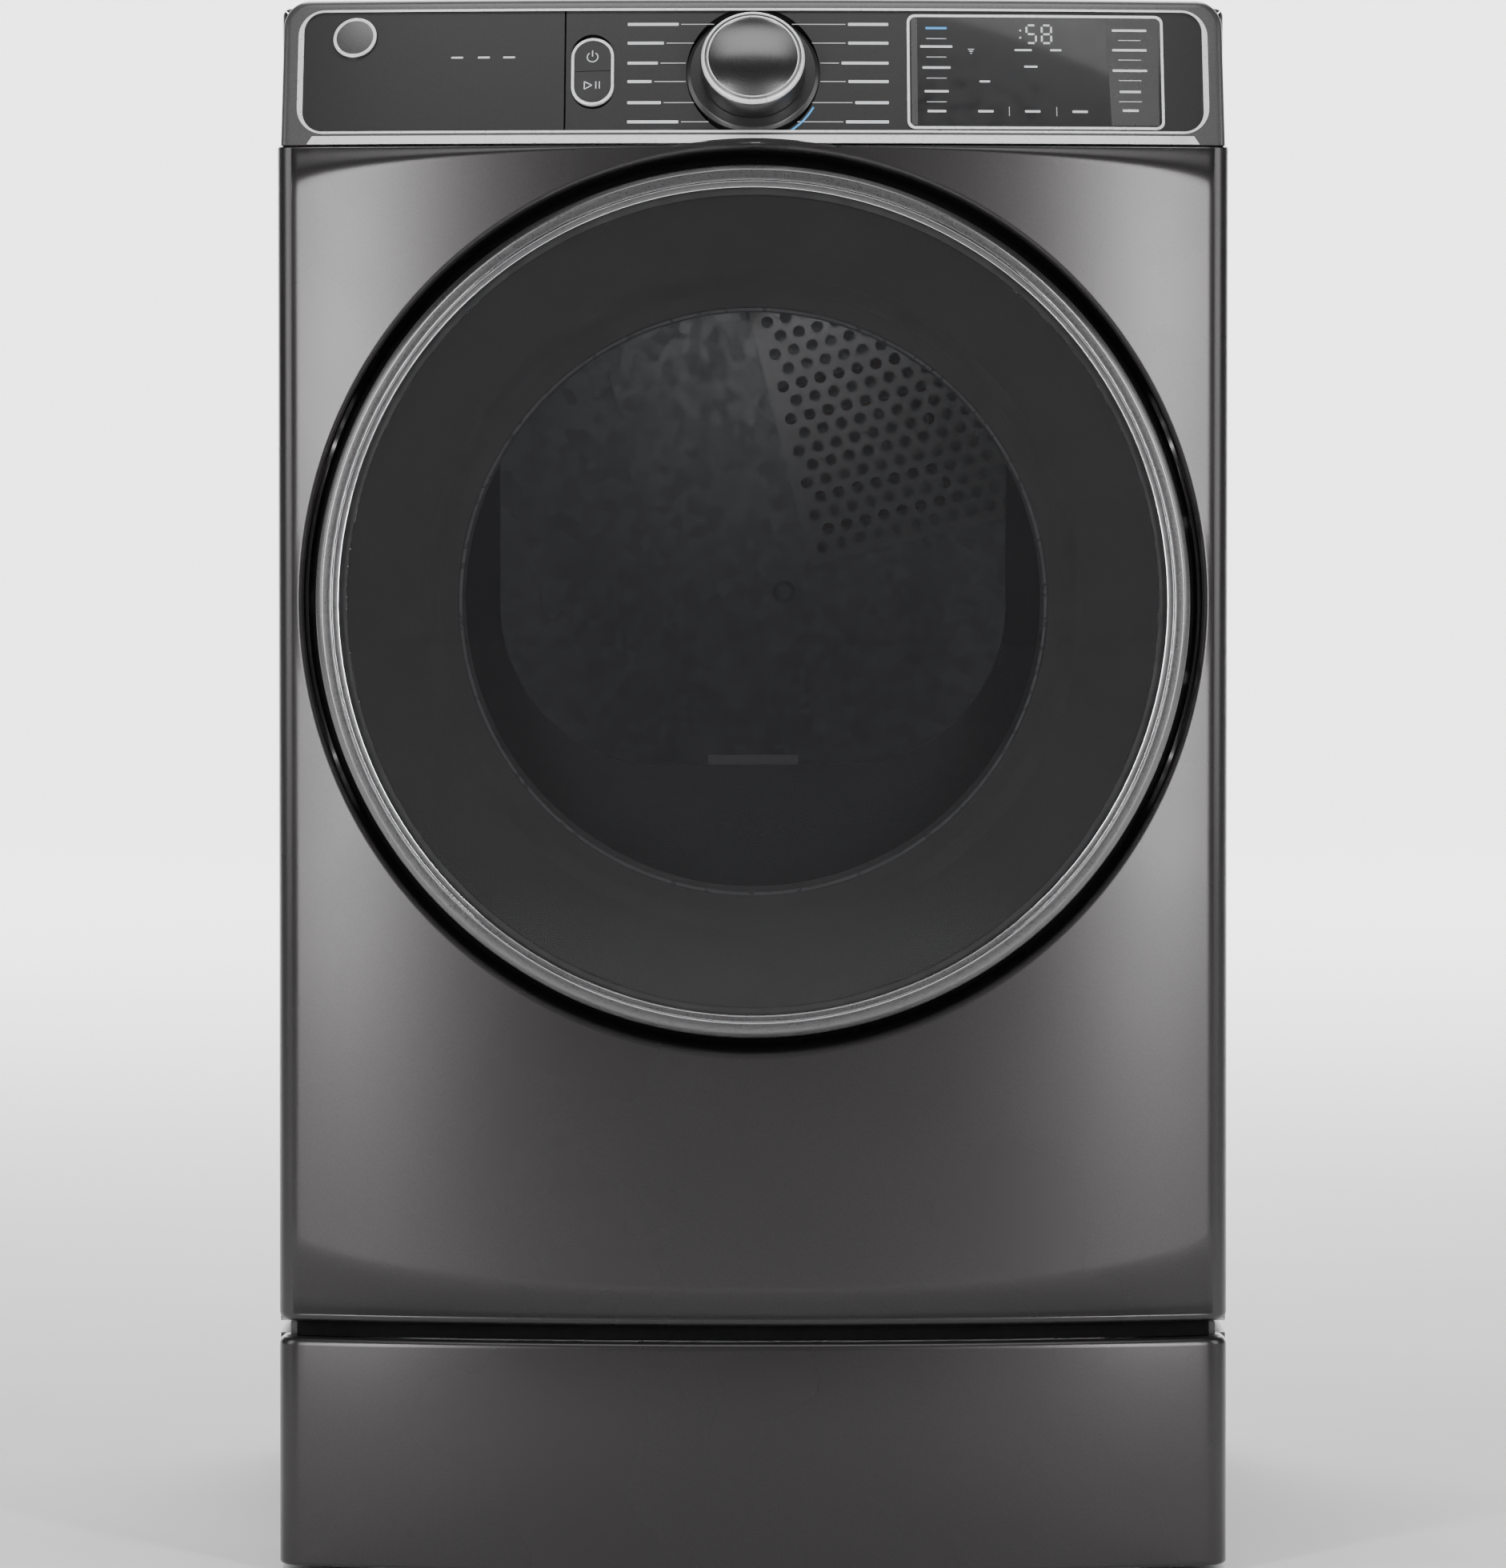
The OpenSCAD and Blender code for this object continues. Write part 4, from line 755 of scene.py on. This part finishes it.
def frame_outline(shrink):
    """Outline of the console's framed face, shrunk all round."""
    return round_box(2 * (FRAME_X - shrink), FACE_H1 - FACE_H0 - 2 * shrink, FRAME_CORNER - shrink,
                     0, (FACE_H0 + FACE_H1) / 2, 10)


def at_height(u):
    """Height seen from the front of a place u up the tilted face."""
    return u * COS_T


def make_housing():
    """Metal housing: the border round the face and a rounded skin going back to the top panel."""
    edge = 6 * MM
    r = 5 * MM
    half, top, corner = HOUSE_HALF, HOUSE_H, HOUSE_CORNER

    def shape(d):
        pts = [(-half + d, 0.0), (-half + d, top * 0.3), (-half + d, top - corner)]
        arc = [(math.cos(a), math.sin(a)) for a in spaced(math.pi, math.pi / 2, 12)]
        pts += [(-half + corner + (corner - d) * c, top - corner + (corner - d) * s) for c, s in arc]
        pts += [(x, top - d) for x in spaced(-half + corner, half - corner, 60)[1:-1]]
        pts += [(-x, h) for x, h in reversed(pts[:16])]
        return pts

    section = [(edge, 0.0)] + [(r * (1 - math.sin(t)), r * (1 - math.cos(t)))
                               for t in spaced(0, math.pi / 2, 8)]
    verts, cols = [], 0
    for d, back in section:
        row = [face_point(x, h) + Vector((0, back, 0)) for x, h in shape(d)]
        verts += row
        cols = len(row)
    verts += [Vector((x, HOUSE_BACK, CON_Z + h)) for x, h in shape(0)]
    skin = add_mesh("housing_sides", verts, grid_faces(len(section) + 1, cols), BORDER, sharp=50)
    border = face_plate("housing_border", [shape(edge * 0.98), frame_outline(0.3 * MM)], 0, 1 * MM, BORDER)
    body = joined("console_shell", [skin, border])
    inner = face_plate("console_back_plate", [frame_outline(-2 * MM)], 10.4 * MM, 0.8 * MM, BLACK_MATT)
    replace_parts(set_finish(body, "painted_front"), "console_housing")
    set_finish(inner, "black_plastic")


def fascia_part(x, side):
    """The part of the framed outline on one side of a straight cut at x."""
    lo, hi = FACE_H0 + FASCIA_GAP, FACE_H1 - FASCIA_GAP
    pts = [(x, lo), (x, hi)] + [tuple(p) for p in frame_outline(FASCIA_GAP) if p[0] * side > 0]
    centre = (x + side * 60 * MM, (lo + hi) / 2)
    return sorted(set(pts), key=lambda p: math.atan2(p[1] - centre[1], (p[0] - centre[0])))


def make_fascias():
    """Two dark bowed plates with a seam between them and openings for knob, keys and display."""
    left_part, right_part = fascia_part(SPLIT_X - SEAM, -1), fascia_part(SPLIT_X + SEAM, 1)
    a = face_plate("fascia_left_plate", [left_part], FASCIA_IN, FASCIA_T, FACE, edge=0.4 * MM)
    holes = [circle_2d(SKIRT_R + 0.3 * MM, 0, at_height(KNOB_U), 96),
             stadium(32 * MM, 56.6 * MM, BUTTON_X, at_height(BUTTON_U)),
             round_box(DISPLAY_W + 0.6 * MM, DISPLAY_H + 0.6 * MM, 6 * MM, DISPLAY_X, at_height(DISPLAY_U))]
    b = face_plate("fascia_right_plate", [right_part] + holes, FASCIA_IN, FASCIA_T, FACE, edge=0.4 * MM)
    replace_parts(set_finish(a, "console_face"), "fascia_left")
    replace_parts(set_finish(b, "console_face"), "fascia_right")


def make_trim():
    """Chrome frame, thick at the sides, the band along the bottom and the blank badge."""
    outer = frame_outline(0)
    inner = round_box(2 * (FRAME_X - 4.2 * MM), FACE_H1 - FACE_H0 - 3.4 * MM, FRAME_CORNER - 5 * MM,
                      0, (FACE_H0 + FACE_H1) / 2, 10)
    frame_bar = face_plate("frame_bar", [outer, inner], -0.6 * MM, 2.6 * MM, CHROME_PAINTED_SHEEN, edge=0.7 * MM)
    top = at_height(7.3 * MM)
    slant = 4 * MM
    w = 333 * MM
    band = face_plate("chrome_band", [[(-w, 0.5 * MM), (w, 0.5 * MM), (w - slant, top), (-w + slant, top)]],
                      -0.8 * MM, 1.6 * MM, CHROME_PAINTED_SHEEN, edge=0.5 * MM)
    profile = rounded([(0, -1.6), (14, -1.6), (15.2, -0.4), (16.5, -0.4), (16.5, 1), (0, 1)],
                      [0, 0.8, 0.5, 0.6, 0, 0])
    badge = turned_at("badge_disc", profile, RING_METAL, "root", BADGE_X, BADGE_U)
    edge = rounded([(14.0, -1.7), (16.5, -1.7), (16.5, -0.3), (14.0, -0.3)], 0.5, True)
    badge_ring = turned_at("badge_ring", edge, CHROME_PAINTED_SHEEN, "root", BADGE_X, BADGE_U)
    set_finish(badge_ring, "chrome")
    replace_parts(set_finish(frame_bar, "chrome"), "console_trim")
    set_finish(band, "chrome")
    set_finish(badge, "chrome")


def turned_at(name, profile, mat, body, x, u, steps=128):
    """Turned piece standing on the face, profile in mm; the spun metal needs the piece's own axis."""
    obj = lathe(name, [(r * MM, y * MM) for r, y in profile], mat, None, steps=steps)
    if mat is SPUN:
        obj.matrix_world = face_frame(x, u)
    else:
        obj.data.transform(face_frame(x, u))
    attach(obj, body)
    return obj


def points_on_face(node, x, u):
    """Points of a CAD node in the frame that stands on the face at x and u."""
    inv = face_frame(x, u).inverted()
    return [inv @ (NODES[node].matrix_world @ v.co) for v in NODES[node].data.vertices]


def make_knob():
    """Spun knob with a bright rim on a dark skirt."""
    skirt = rounded([(0, -SKIRT_OUT), (46.5, -SKIRT_OUT), (49.5, -SKIRT_OUT + 2.5), (49.5, 3), (0, 3)],
                    [0, 1.5, 1.2, 0, 0])
    base = turned_at("skirt_disc", skirt, FACE, "root", 0, KNOB_U)
    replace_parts(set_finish(base, "console_face"), "knob_skirt")
    pts = points_on_face("knob", 0, KNOB_U)
    y1 = min(p.y for p in pts) / MM
    r1 = max(math.hypot(p.x, p.z) for p in pts) / MM
    y0 = -SKIRT_OUT - 0.2
    body = rounded([(0, y1 + 1.4), (32.5, y1 + 1.4), (34, y1 + 0.2), (35.5, y1), (r1, y1 + 4), (r1, y0 - 1),
                    (r1 - 1.5, y0), (0, y0)], [0, 0.5, 0.6, 0.8, 2.2, 0.6, 0.4, 0])
    shell = turned_at("knob_body_turned", body, RING_METAL, "knob_body", 0, KNOB_U, steps=160)
    disc = [(0, y1 + 0.9), (32.2, y1 + 0.9), (32.6, y1 + 1.2), (32.6, y1 + 2), (0, y1 + 2)]
    cap = turned_at("knob_face", disc, SPUN, "knob_body", 0, KNOB_U, steps=160)
    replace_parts(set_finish(shell, "ring_metal"), "knob")
    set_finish(cap, "spun_metal")
    ring = rounded([(33.2, y1 - 0.02), (37.6, y1 + 1.0), (38.6, y1 + 3.4), (37.4, y1 + 5), (33.2, y1 + 3)],
                   [0.4, 1.0, 0.6, 0, 0], True)
    bright = turned_at("knob_ring", ring, CHROME_PAINTED_SHEEN, "knob_body", 0, KNOB_U, steps=160)
    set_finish(bright, "chrome")


def strokes(name, lines, width, mat, body, x, u, inset):
    """Thin raised marks drawn as short bars between pairs of points, in mm about a place on the face."""
    verts, faces = [], []
    for (x0, z0), (x1, z1) in lines:
        d = Vector((x1 - x0, z1 - z0)).normalized()
        n = Vector((-d.y, d.x)) * width / 2
        ring = [(x0 + n.x, z0 + n.y), (x1 + n.x, z1 + n.y), (x1 - n.x, z1 - n.y), (x0 - n.x, z0 - n.y)]
        base = len(verts)
        verts += [(px * MM, y, pz * MM) for y in (0, 0.0001) for px, pz in ring]
        faces += [[base + k for k in f] for f in
                  ((0, 1, 2, 3), (7, 6, 5, 4), (0, 4, 5, 1), (1, 5, 6, 2), (2, 6, 7, 3), (3, 7, 4, 0))]
    obj = add_mesh(name, verts, faces, mat, None, smooth=False)
    obj.matrix_world = face_frame(x, u, inset)
    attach(obj, body)
    return obj


def arc_lines(cx, cy, r, a0, a1, n=16):
    """Short lines that make an arc, with the angles in degrees."""
    angles = [math.radians(a) for a in spaced(a0, a1, n)]
    pts = [(cx + r * math.cos(a), cy + r * math.sin(a)) for a in angles]
    return list(zip(pts, pts[1:]))


def plate_at(name, outlines, y0, depth, mat, body, x, u, edge):
    """Flat plate standing square on the face; sizes in mm."""
    shape = plate_shape(flat_shape(outlines), lambda p: (p.x * MM, y0 * MM, p.z * MM),
                        lambda p: (p.x * MM, (y0 + depth) * MM, p.z * MM))
    obj = add_mesh(name, *shape, mat, None, sharp=30)
    round_rims(obj, "rim", edge * MM, 3, 50, False)
    use_modifiers(obj)
    obj.matrix_world = face_frame(x, u)
    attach(obj, body)
    return obj


def make_keys():
    """Bright bezel with two black keys, each with its own generic symbol."""
    pts = points_on_face("power_button", BUTTON_X, BUTTON_U)
    w = 2 * max(abs(p.x) for p in pts) / MM
    h = 2 * max(p.z for p in pts) / MM
    front = min(p.y for p in pts) / MM
    back = max(p.y for p in pts) / MM
    bezel = plate_at("key_bezel", [stadium(w + 5.2, h + 5.2), stadium(w + 0.4, h + 0.4)],
                     -0.8, 3.4, CHROME_PAINTED_SHEEN, "root", BUTTON_X, BUTTON_U, 0.6)
    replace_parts(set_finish(bezel, "chrome"), "button_bezel")
    for name, node, side, bodyname in (("key_power", "power_button", 1, "power_key"),
                                       ("key_start", "start_button", -1, "start_key")):
        half = [p for p in stadium(w, h) if p[1] * side > 0.1]
        half += [(w / 2, 0.2 * side), (-w / 2, 0.2 * side)]
        half = sorted(set(half), key=lambda p: math.atan2(p[1] - side * h / 4, p[0]))
        key = plate_at(name, [half], front, back - front, BLACK, bodyname, BUTTON_X, BUTTON_U, 0.5)
        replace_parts(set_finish(key, "black_plastic"), node)
        if side > 0:
            lines = arc_lines(0, h / 4 - 1, 4.0, 125, 415, 24) + [((0, h / 4 - 0.5), (0, h / 4 + 4.6))]
        else:
            z = -h / 4 + 1
            lines = [((-6, z - 3.2), (-6, z + 3.2)), ((-6, z + 3.2), (-0.4, z)), ((-0.4, z), (-6, z - 3.2)),
                     ((2.6, z - 3.0), (2.6, z + 3.0)), ((5.2, z - 3.0), (5.2, z + 3.0))]
        icon = strokes(name + "_mark", lines, 0.75, MARK, bodyname, BUTTON_X, BUTTON_U, (front - 0.06) * MM)
        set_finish(icon, "display_lens")


make_housing()
make_fascias()
make_trim()
make_knob()
make_keys()


# ---------- display ----------

def face_box(w, h, cx, ch, r=0.0005):
    """Outline of a small upright rectangle on the face, in metres as seen from the front."""
    return round_box(w, h, min(r, w * 0.45, h * 0.45), cx, ch, 2)


def make_display():
    """Display window with its bright frame, side strips and printed marks."""
    cx, ch = DISPLAY_X, at_height(DISPLAY_U)
    w, h = DISPLAY_W, DISPLAY_H
    base = FASCIA_IN - 0.6 * MM
    outer = round_box(w, h, 6 * MM, cx, ch)
    inner = round_box(w - 4 * MM, h - 4 * MM, 4.5 * MM, cx, ch)
    rim = face_plate("display_rim", [outer, inner], base - 0.4 * MM, 1.6 * MM, CHROME_PAINTED_SHEEN, edge=0.4 * MM)
    lens = face_plate("display_lens", [inner], base, 2.0 * MM, PANEL_BLACK)
    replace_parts(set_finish(rim, "chrome"), "display_panel")
    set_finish(lens, "display_lens")
    on = base - 0.15 * MM
    side_bar = face_box(4.5 * MM, h - 6 * MM, cx - w / 2 + 5.5 * MM, ch)
    left = face_plate("display_bar", [side_bar], on, 0.3 * MM, STRIP)
    x0, x1, slant = cx + w / 2 - 43 * MM, cx + w / 2 - 4 * MM, 3 * MM
    strip = [(x0 + slant, ch - h / 2 + 3 * MM), (x1, ch - h / 2 + 3 * MM), (x1, ch + h / 2 - 3 * MM),
             (x0, ch + h / 2 - 3 * MM)]
    right = face_plate("display_keys", [strip], on, 0.3 * MM, STRIP)
    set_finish(left, "display_lens")
    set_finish(right, "display_lens")
    marks, blue = [], []
    x_left = cx - w / 2

    def bar(x, z, length, thick=1.5):
        return face_box(length * MM, thick * MM, x_left + x * MM, ch + z * MM)

    left_keys = ((33, 16), (19, 24), (3, 21), (-15, 18), (-30, 14))
    right_keys = ((32, 26), (17, 26), (1.4, 26), (-14.7, 16), (-29, 12))
    for i, ((zl, wl), (zr, wr)) in enumerate(zip(left_keys, right_keys)):
        (blue if i == 0 else marks).append(bar(22, zl, wl, 1.8))
        marks.append(bar(167, zr, wr, 1.8))
        if i < 4:
            marks += [bar(22, zl - 8, 15, 0.5), bar(167, zr - 7.5, 17, 0.5)]
    marks += [bar(87, 16.6, 13), bar(111.5, 16.6, 8.5), bar(92.6, 4, 10), bar(58, -7.4, 8)]
    marks += [bar(x, -30, 11.5, 1.8) for x in (58.5, 93.5, 129)]
    marks += [face_box(0.4 * MM, 7 * MM, x_left + x * MM, ch - 30 * MM) for x in (76, 111.5)]
    marks += [bar(48, 14 + k * 1.5, 1.5 + k * 1.6, 0.6) for k in range(3)]
    put_marks("display_marks", marks, on - 0.1 * MM, MARK)
    put_marks("display_mark_blue", blue, on - 0.1 * MM, MARK_BLUE)
    put_marks("display_digits", digits(":58", x_left + 85 * MM, ch + 22 * MM, 13.5 * MM), on - 0.1 * MM, MARK)


def digits(text, x, z, high):
    """Seven-segment figures as outlines, with the lower left corner at x and z."""
    segs = {"5": "afgcd", "8": "abcdefg"}
    w, t = high * 0.52, high * 0.11
    places = {"a": (w / 2, high, 1), "g": (w / 2, high / 2, 1), "d": (w / 2, 0, 1), "f": (0, high * 0.75, 0),
              "b": (w, high * 0.75, 0), "e": (0, high * 0.25, 0), "c": (w, high * 0.25, 0)}
    out = []
    for char in text:
        if char == ":":
            out += [face_box(t, t, x, z + high * k) for k in (0.3, 0.7)]
            x += high * 0.35
            continue
        for s in segs[char]:
            px, pz, flat = places[s]
            size = (w - t * 1.3, t) if flat else (t, high / 2 - t * 1.3)
            out.append(face_box(size[0], size[1], x + px, z + pz, t * 0.4))
        x += high * 0.85
    return out


def put_marks(name, outlines, inset, mat):
    """Printed marks on the face as one thin piece."""
    parts = [face_plate(f"{name}_{i}", [o], inset, 0.1 * MM, mat) for i, o in enumerate(outlines)]
    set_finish(joined(name, parts), "display_lens")


def make_cycle_marks():
    """Blank bars and leader lines for the cycles on both sides of the knob, and three small marks."""
    marks = []
    knob_h = at_height(KNOB_U)
    heights = (37, 22.7, 7.5, -6.5, -22.5, -37)
    starts = (29, 44, 50, 50, 44, 33)
    left_words = (38, 27, 22.6, 18, 25, 38)
    right_words = (30, 30, 35, 30, 25, 32)
    for z, start, left, right in zip(heights, starts, left_words, right_words):
        for side, edge, word in ((-1, 93.5, left), (1, 101, right)):
            lead = edge - word - 2
            h = knob_h + z * MM
            marks.append(face_box(word * MM, 2.2 * MM, side * (edge - word / 2) * MM, h))
            marks.append(face_box((lead - start) * MM, 0.5 * MM, side * (lead + start) / 2 * MM, h))
    marks += [face_box(9 * MM, 1.4 * MM, x * MM, at_height(73 * MM)) for x in (-221, -201, -182)]
    put_marks("cycle_marks", marks, FASCIA_IN - 0.08 * MM, MARK)
    arc = arc_strip(0, knob_h, 51.2 * MM, 52.6 * MM, -62, -30)
    put_marks("cycle_arc", arc, FASCIA_IN - 0.08 * MM, MARK_BLUE)


def arc_strip(cx, cy, r0, r1, a0, a1, n=8):
    """Curved strip, as a list with its one outline."""
    angles = [math.radians(a) for a in spaced(a0, a1, n)]
    return [[(cx + r1 * math.cos(a), cy + r1 * math.sin(a)) for a in angles]
            + [(cx + r0 * math.cos(a), cy + r0 * math.sin(a)) for a in reversed(angles)]]


make_display()
make_cycle_marks()


# ---------- door ----------

def door_turn(name, profile, radii, mat, slot_name, nodes=(), steps=256):
    """Turned piece of the door about its own middle, with round corners; replaces the given nodes."""
    obj = lathe(name, rounded(profile, radii, closed=True), mat, "door", (0, DOOR_Z), steps)
    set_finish(obj, slot_name)
    if nodes:
        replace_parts(obj, *nodes)
    return obj


def cut_ears(ring):
    """Clears the two hinge ears out of the ring's wall."""
    lo, hi = span("hinge_bracket")
    reach = (hi.z - lo.z) / 2
    for side in (-1, 1):
        z = DOOR_Z + side * (reach - 6 * MM)
        size = Vector((60 * MM, 60 * MM, 20 * MM))
        centre = Vector((RING_R - 3 * MM, RING_Y0 + 7 * MM + size.y / 2, z))
        shape = box_shape(centre - size / 2, centre + size / 2)
        tool = add_mesh("ear_cut", *shape, None, None, smooth=False, sharp=180)
        bpy.context.view_layer.update()
        cut(ring, tool)


def make_door():
    """Bright ring with two steps and a painted highlight line on its crease, the tinted pane, its printed
    border with a painted highlight band, and the window ring drawn as a painted highlight.
    """
    y0, y1 = RING_Y0, RING_Y1
    wide, wall = 17 * MM, 3.5 * MM
    r = RING_R
    outer = [(r - 11 * MM, y0), (r - 4 * MM, y0 + 0.3 * MM), (r, y0 + 4.5 * MM), (r, y1), (r - wall, y1),
             (r - wall, y0 + 6 * MM), (r - 11 * MM, y0 + 6 * MM)]
    radii = [1.0 * MM, 3 * MM, 3 * MM, 0.6 * MM, 0.5 * MM, 0, 0]
    ring = door_turn("door_ring_outer", outer, radii, RING_METAL, "ring_metal", ("door_ring",))
    cut_ears(ring)
    # Thin bright ring on the crease between the outer and inner bevels: painted highlight for the crease's
    # specular line.
    line = [(r - 12.6 * MM, y0 + 0.2 * MM), (r - 10.9 * MM, y0 + 0.2 * MM), (r - 10.9 * MM, y0 + 4 * MM),
            (r - 12.6 * MM, y0 + 4 * MM)]
    door_turn("door_ring_highlight_line", line, 0.4 * MM, RING_CHROME_AND_HIGHLIGHT, "chrome")
    inner = [(r - wide + 0.8 * MM, y0 + 1.6 * MM), (r - 12.5 * MM, y0 + 0.9 * MM),
             (r - 12.5 * MM, y0 + 6 * MM), (r - wide + 0.8 * MM, y0 + 6 * MM)]
    door_turn("door_ring_inner", inner, [0.3 * MM, 0.3 * MM, 0, 0], RING_METAL, "ring_metal")
    edge = [(r - wide, y0 + 1.5 * MM), (r - wide + 0.9 * MM, y0 + 1.2 * MM),
            (r - wide + 0.9 * MM, y0 + 6 * MM), (r - wide, y0 + 6 * MM)]
    door_turn("door_ring_edge", edge, 0.3 * MM, RING_CHROME_AND_HIGHLIGHT, "chrome")
    g0, g1, gr = GLASS_LO.y, GLASS_HI.y, GLASS_R
    pane = [(0, g0), (gr - 0.2 * MM, g0), (gr, g0 + 1 * MM), (gr, g1 - 0.5 * MM), (0, g1 - 0.5 * MM)]
    door_turn("door_pane", pane, [0, 1.2 * MM, 0.8 * MM, 0.5 * MM, 0], PANE, "door_glass", ("door_glass",))
    back = g1 - 0.35 * MM
    # The band and the window line are painted highlights; the two darker rings are the inner frame's own
    # colour seen through the pane.
    rings = (("pane_print_outer", 244, 301, PRINT), ("pane_painted_lip_highlight", 232, 244, LIP_HIGHLIGHT_BAND),
             ("pane_print_inner", 219, 232, PRINT), ("pane_window_rim_highlight", 216, 218.2, WINDOW_EDGE_HIGHLIGHT))
    for name, a, b, mat in rings:
        flat = [(a * MM, back), (b * MM, back), (b * MM, g1), (a * MM, g1)]
        door_turn(name, flat, 0, mat, "black_plastic")


make_door()


# ---------- finishes of the CAD nodes that show as they are ----------

FINISH_GROUPS = (
    (PAINT_SIDE, "painted_side", "left_side_panel right_side_panel top_panel riser_frame"),
    (GALVANISED, "galvanized", "rear_panel base_pan rear_bulkhead heater_box exhaust_duct terminal_cover"),
    (MACHINE, "machine_steel", "inlet_grille hinge_bracket door_hardware cabinet_screws roller_axles"),
    (MACHINE, "machine_steel", "drive_motor motor_rotor idler_arm idler_spring moisture_sensors"),
    (STEEL, "drum_steel", "drum"),
    (DARK_METAL, "black_plastic", "front_bulkhead"),
    (FELT, "felt", "drum_seals"),
    (RUBBER, "rubber", "drive_belt door_gasket riser_feet roller_left roller_right"),
    (WHITE_PLASTIC, "white_plastic", "drum_glides idler_pulley thermostats door_catch door_switch"),
    (GREY_PLASTIC, "grey_plastic", "blower_housing lint_duct blower_wheel door_liner lint_filter"),
    (BLACK, "black_plastic", "door_frame"),
    (BOWL, "window_glass", "door_window drum_lamp"),
    (HEATER_WIRE, "heater_wire", "heater_coil"),
    (BOARD, "board", "control_board"),
    (WATER_BLUE, "water_blue", "water_valve"),
    (HOSE, "hose", "steam_hose"),
    (HARNESS, "harness", "wire_harness"),
)
FINISHES = {node: (mat, slot) for mat, slot, nodes in FINISH_GROUPS for node in nodes.split()}
EDGE_GROUPS = (  # radius in mm of the rounded edges
    (0.4, "left_side_panel right_side_panel rear_panel door_frame door_hardware exhaust_duct lint_filter"),
    (0.4, "door_catch"),
    (0.5, "base_pan riser_frame hinge_bracket terminal_cover rear_bulkhead"),
    (0.6, "top_panel door_liner door_gasket blower_housing"),
    (0.8, "drum front_bulkhead"),
    (1.0, "riser_feet"),
)
EDGES = {node: radius for radius, nodes in EDGE_GROUPS for node in nodes.split()}


def dress_nodes():
    """Gives each CAD node that still shows its finish, smooth shading and round edges."""
    for name, obj in NODES.items():
        if obj.hide_render:
            continue
        mat, slot_name = FINISHES[name]
        obj.data.materials.clear()
        obj.data.materials.append(mat)
        if not obj.get("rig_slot"):
            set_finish(obj, slot_name)
        if name in EDGES:
            round_rims(obj, "round_edges", EDGES[name] * MM, 2, 40, True)


def make_gauze():
    """Fine sheet of gauze stretched in the frame of the lint filter."""
    lo, hi = span("lint_filter")
    rim, handle, thin = 4 * MM, 13 * MM, 0.2 * MM
    middle = (lo.y + hi.y) / 2
    shape = box_shape((lo.x + rim, middle - thin, lo.z + rim), (hi.x - rim, middle + thin, hi.z - handle))
    sheet = add_mesh("filter_gauze", *shape, GAUZE, "filter", sharp=180)
    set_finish(sheet, "filter_mesh")


dress_nodes()
make_gauze()


# ---------- floor, light and camera ----------

def make_floor():
    """Pale floor that curves up into a backdrop."""
    size, flat_end, bend, wall = 16.0, 10.0, 3.0, 12.0
    section = [(-size, 0.0)]
    section += [(flat_end + bend * math.sin(t), bend * (1 - math.cos(t))) for t in spaced(0, math.pi / 2, 16)]
    section.append((flat_end + bend, wall))
    verts = [(x, y, z) for y, z in section for x in spaced(-size, size, 8)]
    floor = add_mesh("floor", verts, grid_faces(len(section), 9), None, None)
    paint = finish_of("floor_paint", (0.80, 0.80, 0.80), 0.7, 0.01, 0.6, 0.05, 60)
    floor.data.materials.append(paint)


def lamp(name, place, target, size, power, size_y=None):
    """Soft rectangular light aimed at a point."""
    data = bpy.data.lights.new(name, "AREA")
    data.shape = "RECTANGLE"
    data.size, data.size_y = size, size_y or size
    data.energy = power
    obj = bpy.data.objects.new(name, data)
    obj.location = place
    obj.rotation_euler = (Vector(target) - Vector(place)).to_track_quat("-Z", "Y").to_euler()
    bpy.context.scene.collection.objects.link(obj)


def make_lights():
    """Two tall side strips, wide sides, a top and a front light, a lamp in the drum and backdrop lights."""
    middle = (0, -0.3, 0.6)
    for side in (-1, 1):
        lamp(f"strip_{side + 1}", (side * 1.46, -2.85, 1.25), (side * 0.27, -0.4, 0.8), 0.24, 50, 2.0)
        lamp(f"wide_{side + 1}", (side * 3.2, -1.2, 1.6), (0, 0, 0.7), 1.4, 40, 2.4)
    lamp("drum_light", (0, -0.27, 1.0), (0, 0.1, 0.72), 0.16, 0.35)
    lamp("top_light", (0, -1.2, 3.4), (0, -0.1, 1.1), 2.4, 24, 1.2)
    lamp("front_fill", (0, -7.5, 3.6), middle, 3.0, 5, 1.6)
    for side in (-1, 1):
        lamp(f"backdrop_{side + 1}", (side * 5.0, 6.5, 5.5), (side * 1.5, 12.6, 1.2), 3.0, 1500)
    lamp("floor_light", (0, 5.5, 7.0), (0, 5.5, 0), 5.0, 620)
    world = bpy.data.worlds.new("studio")
    world.use_nodes = True
    sky = world.node_tree.nodes["Background"]
    sky.inputs["Color"].default_value = (0.95, 0.97, 1.0, 1)
    sky.inputs["Strength"].default_value = 0.06
    bpy.context.scene.world = world


def make_camera():
    """Camera at the photographed angle: far off, just above the console, level with the door."""
    data = bpy.data.cameras.new("camera")
    data.sensor_fit = "AUTO"
    data.sensor_width = 36
    data.lens = 183.8
    data.shift_y = -0.0954
    obj = bpy.data.objects.new("camera", data)
    obj.location = (0, -6.366, 0.875)
    obj.rotation_euler = (math.radians(90 - 1.63), 0, 0)
    bpy.context.scene.collection.objects.link(obj)
    bpy.context.scene.camera = obj


make_floor()
make_lights()
make_camera()
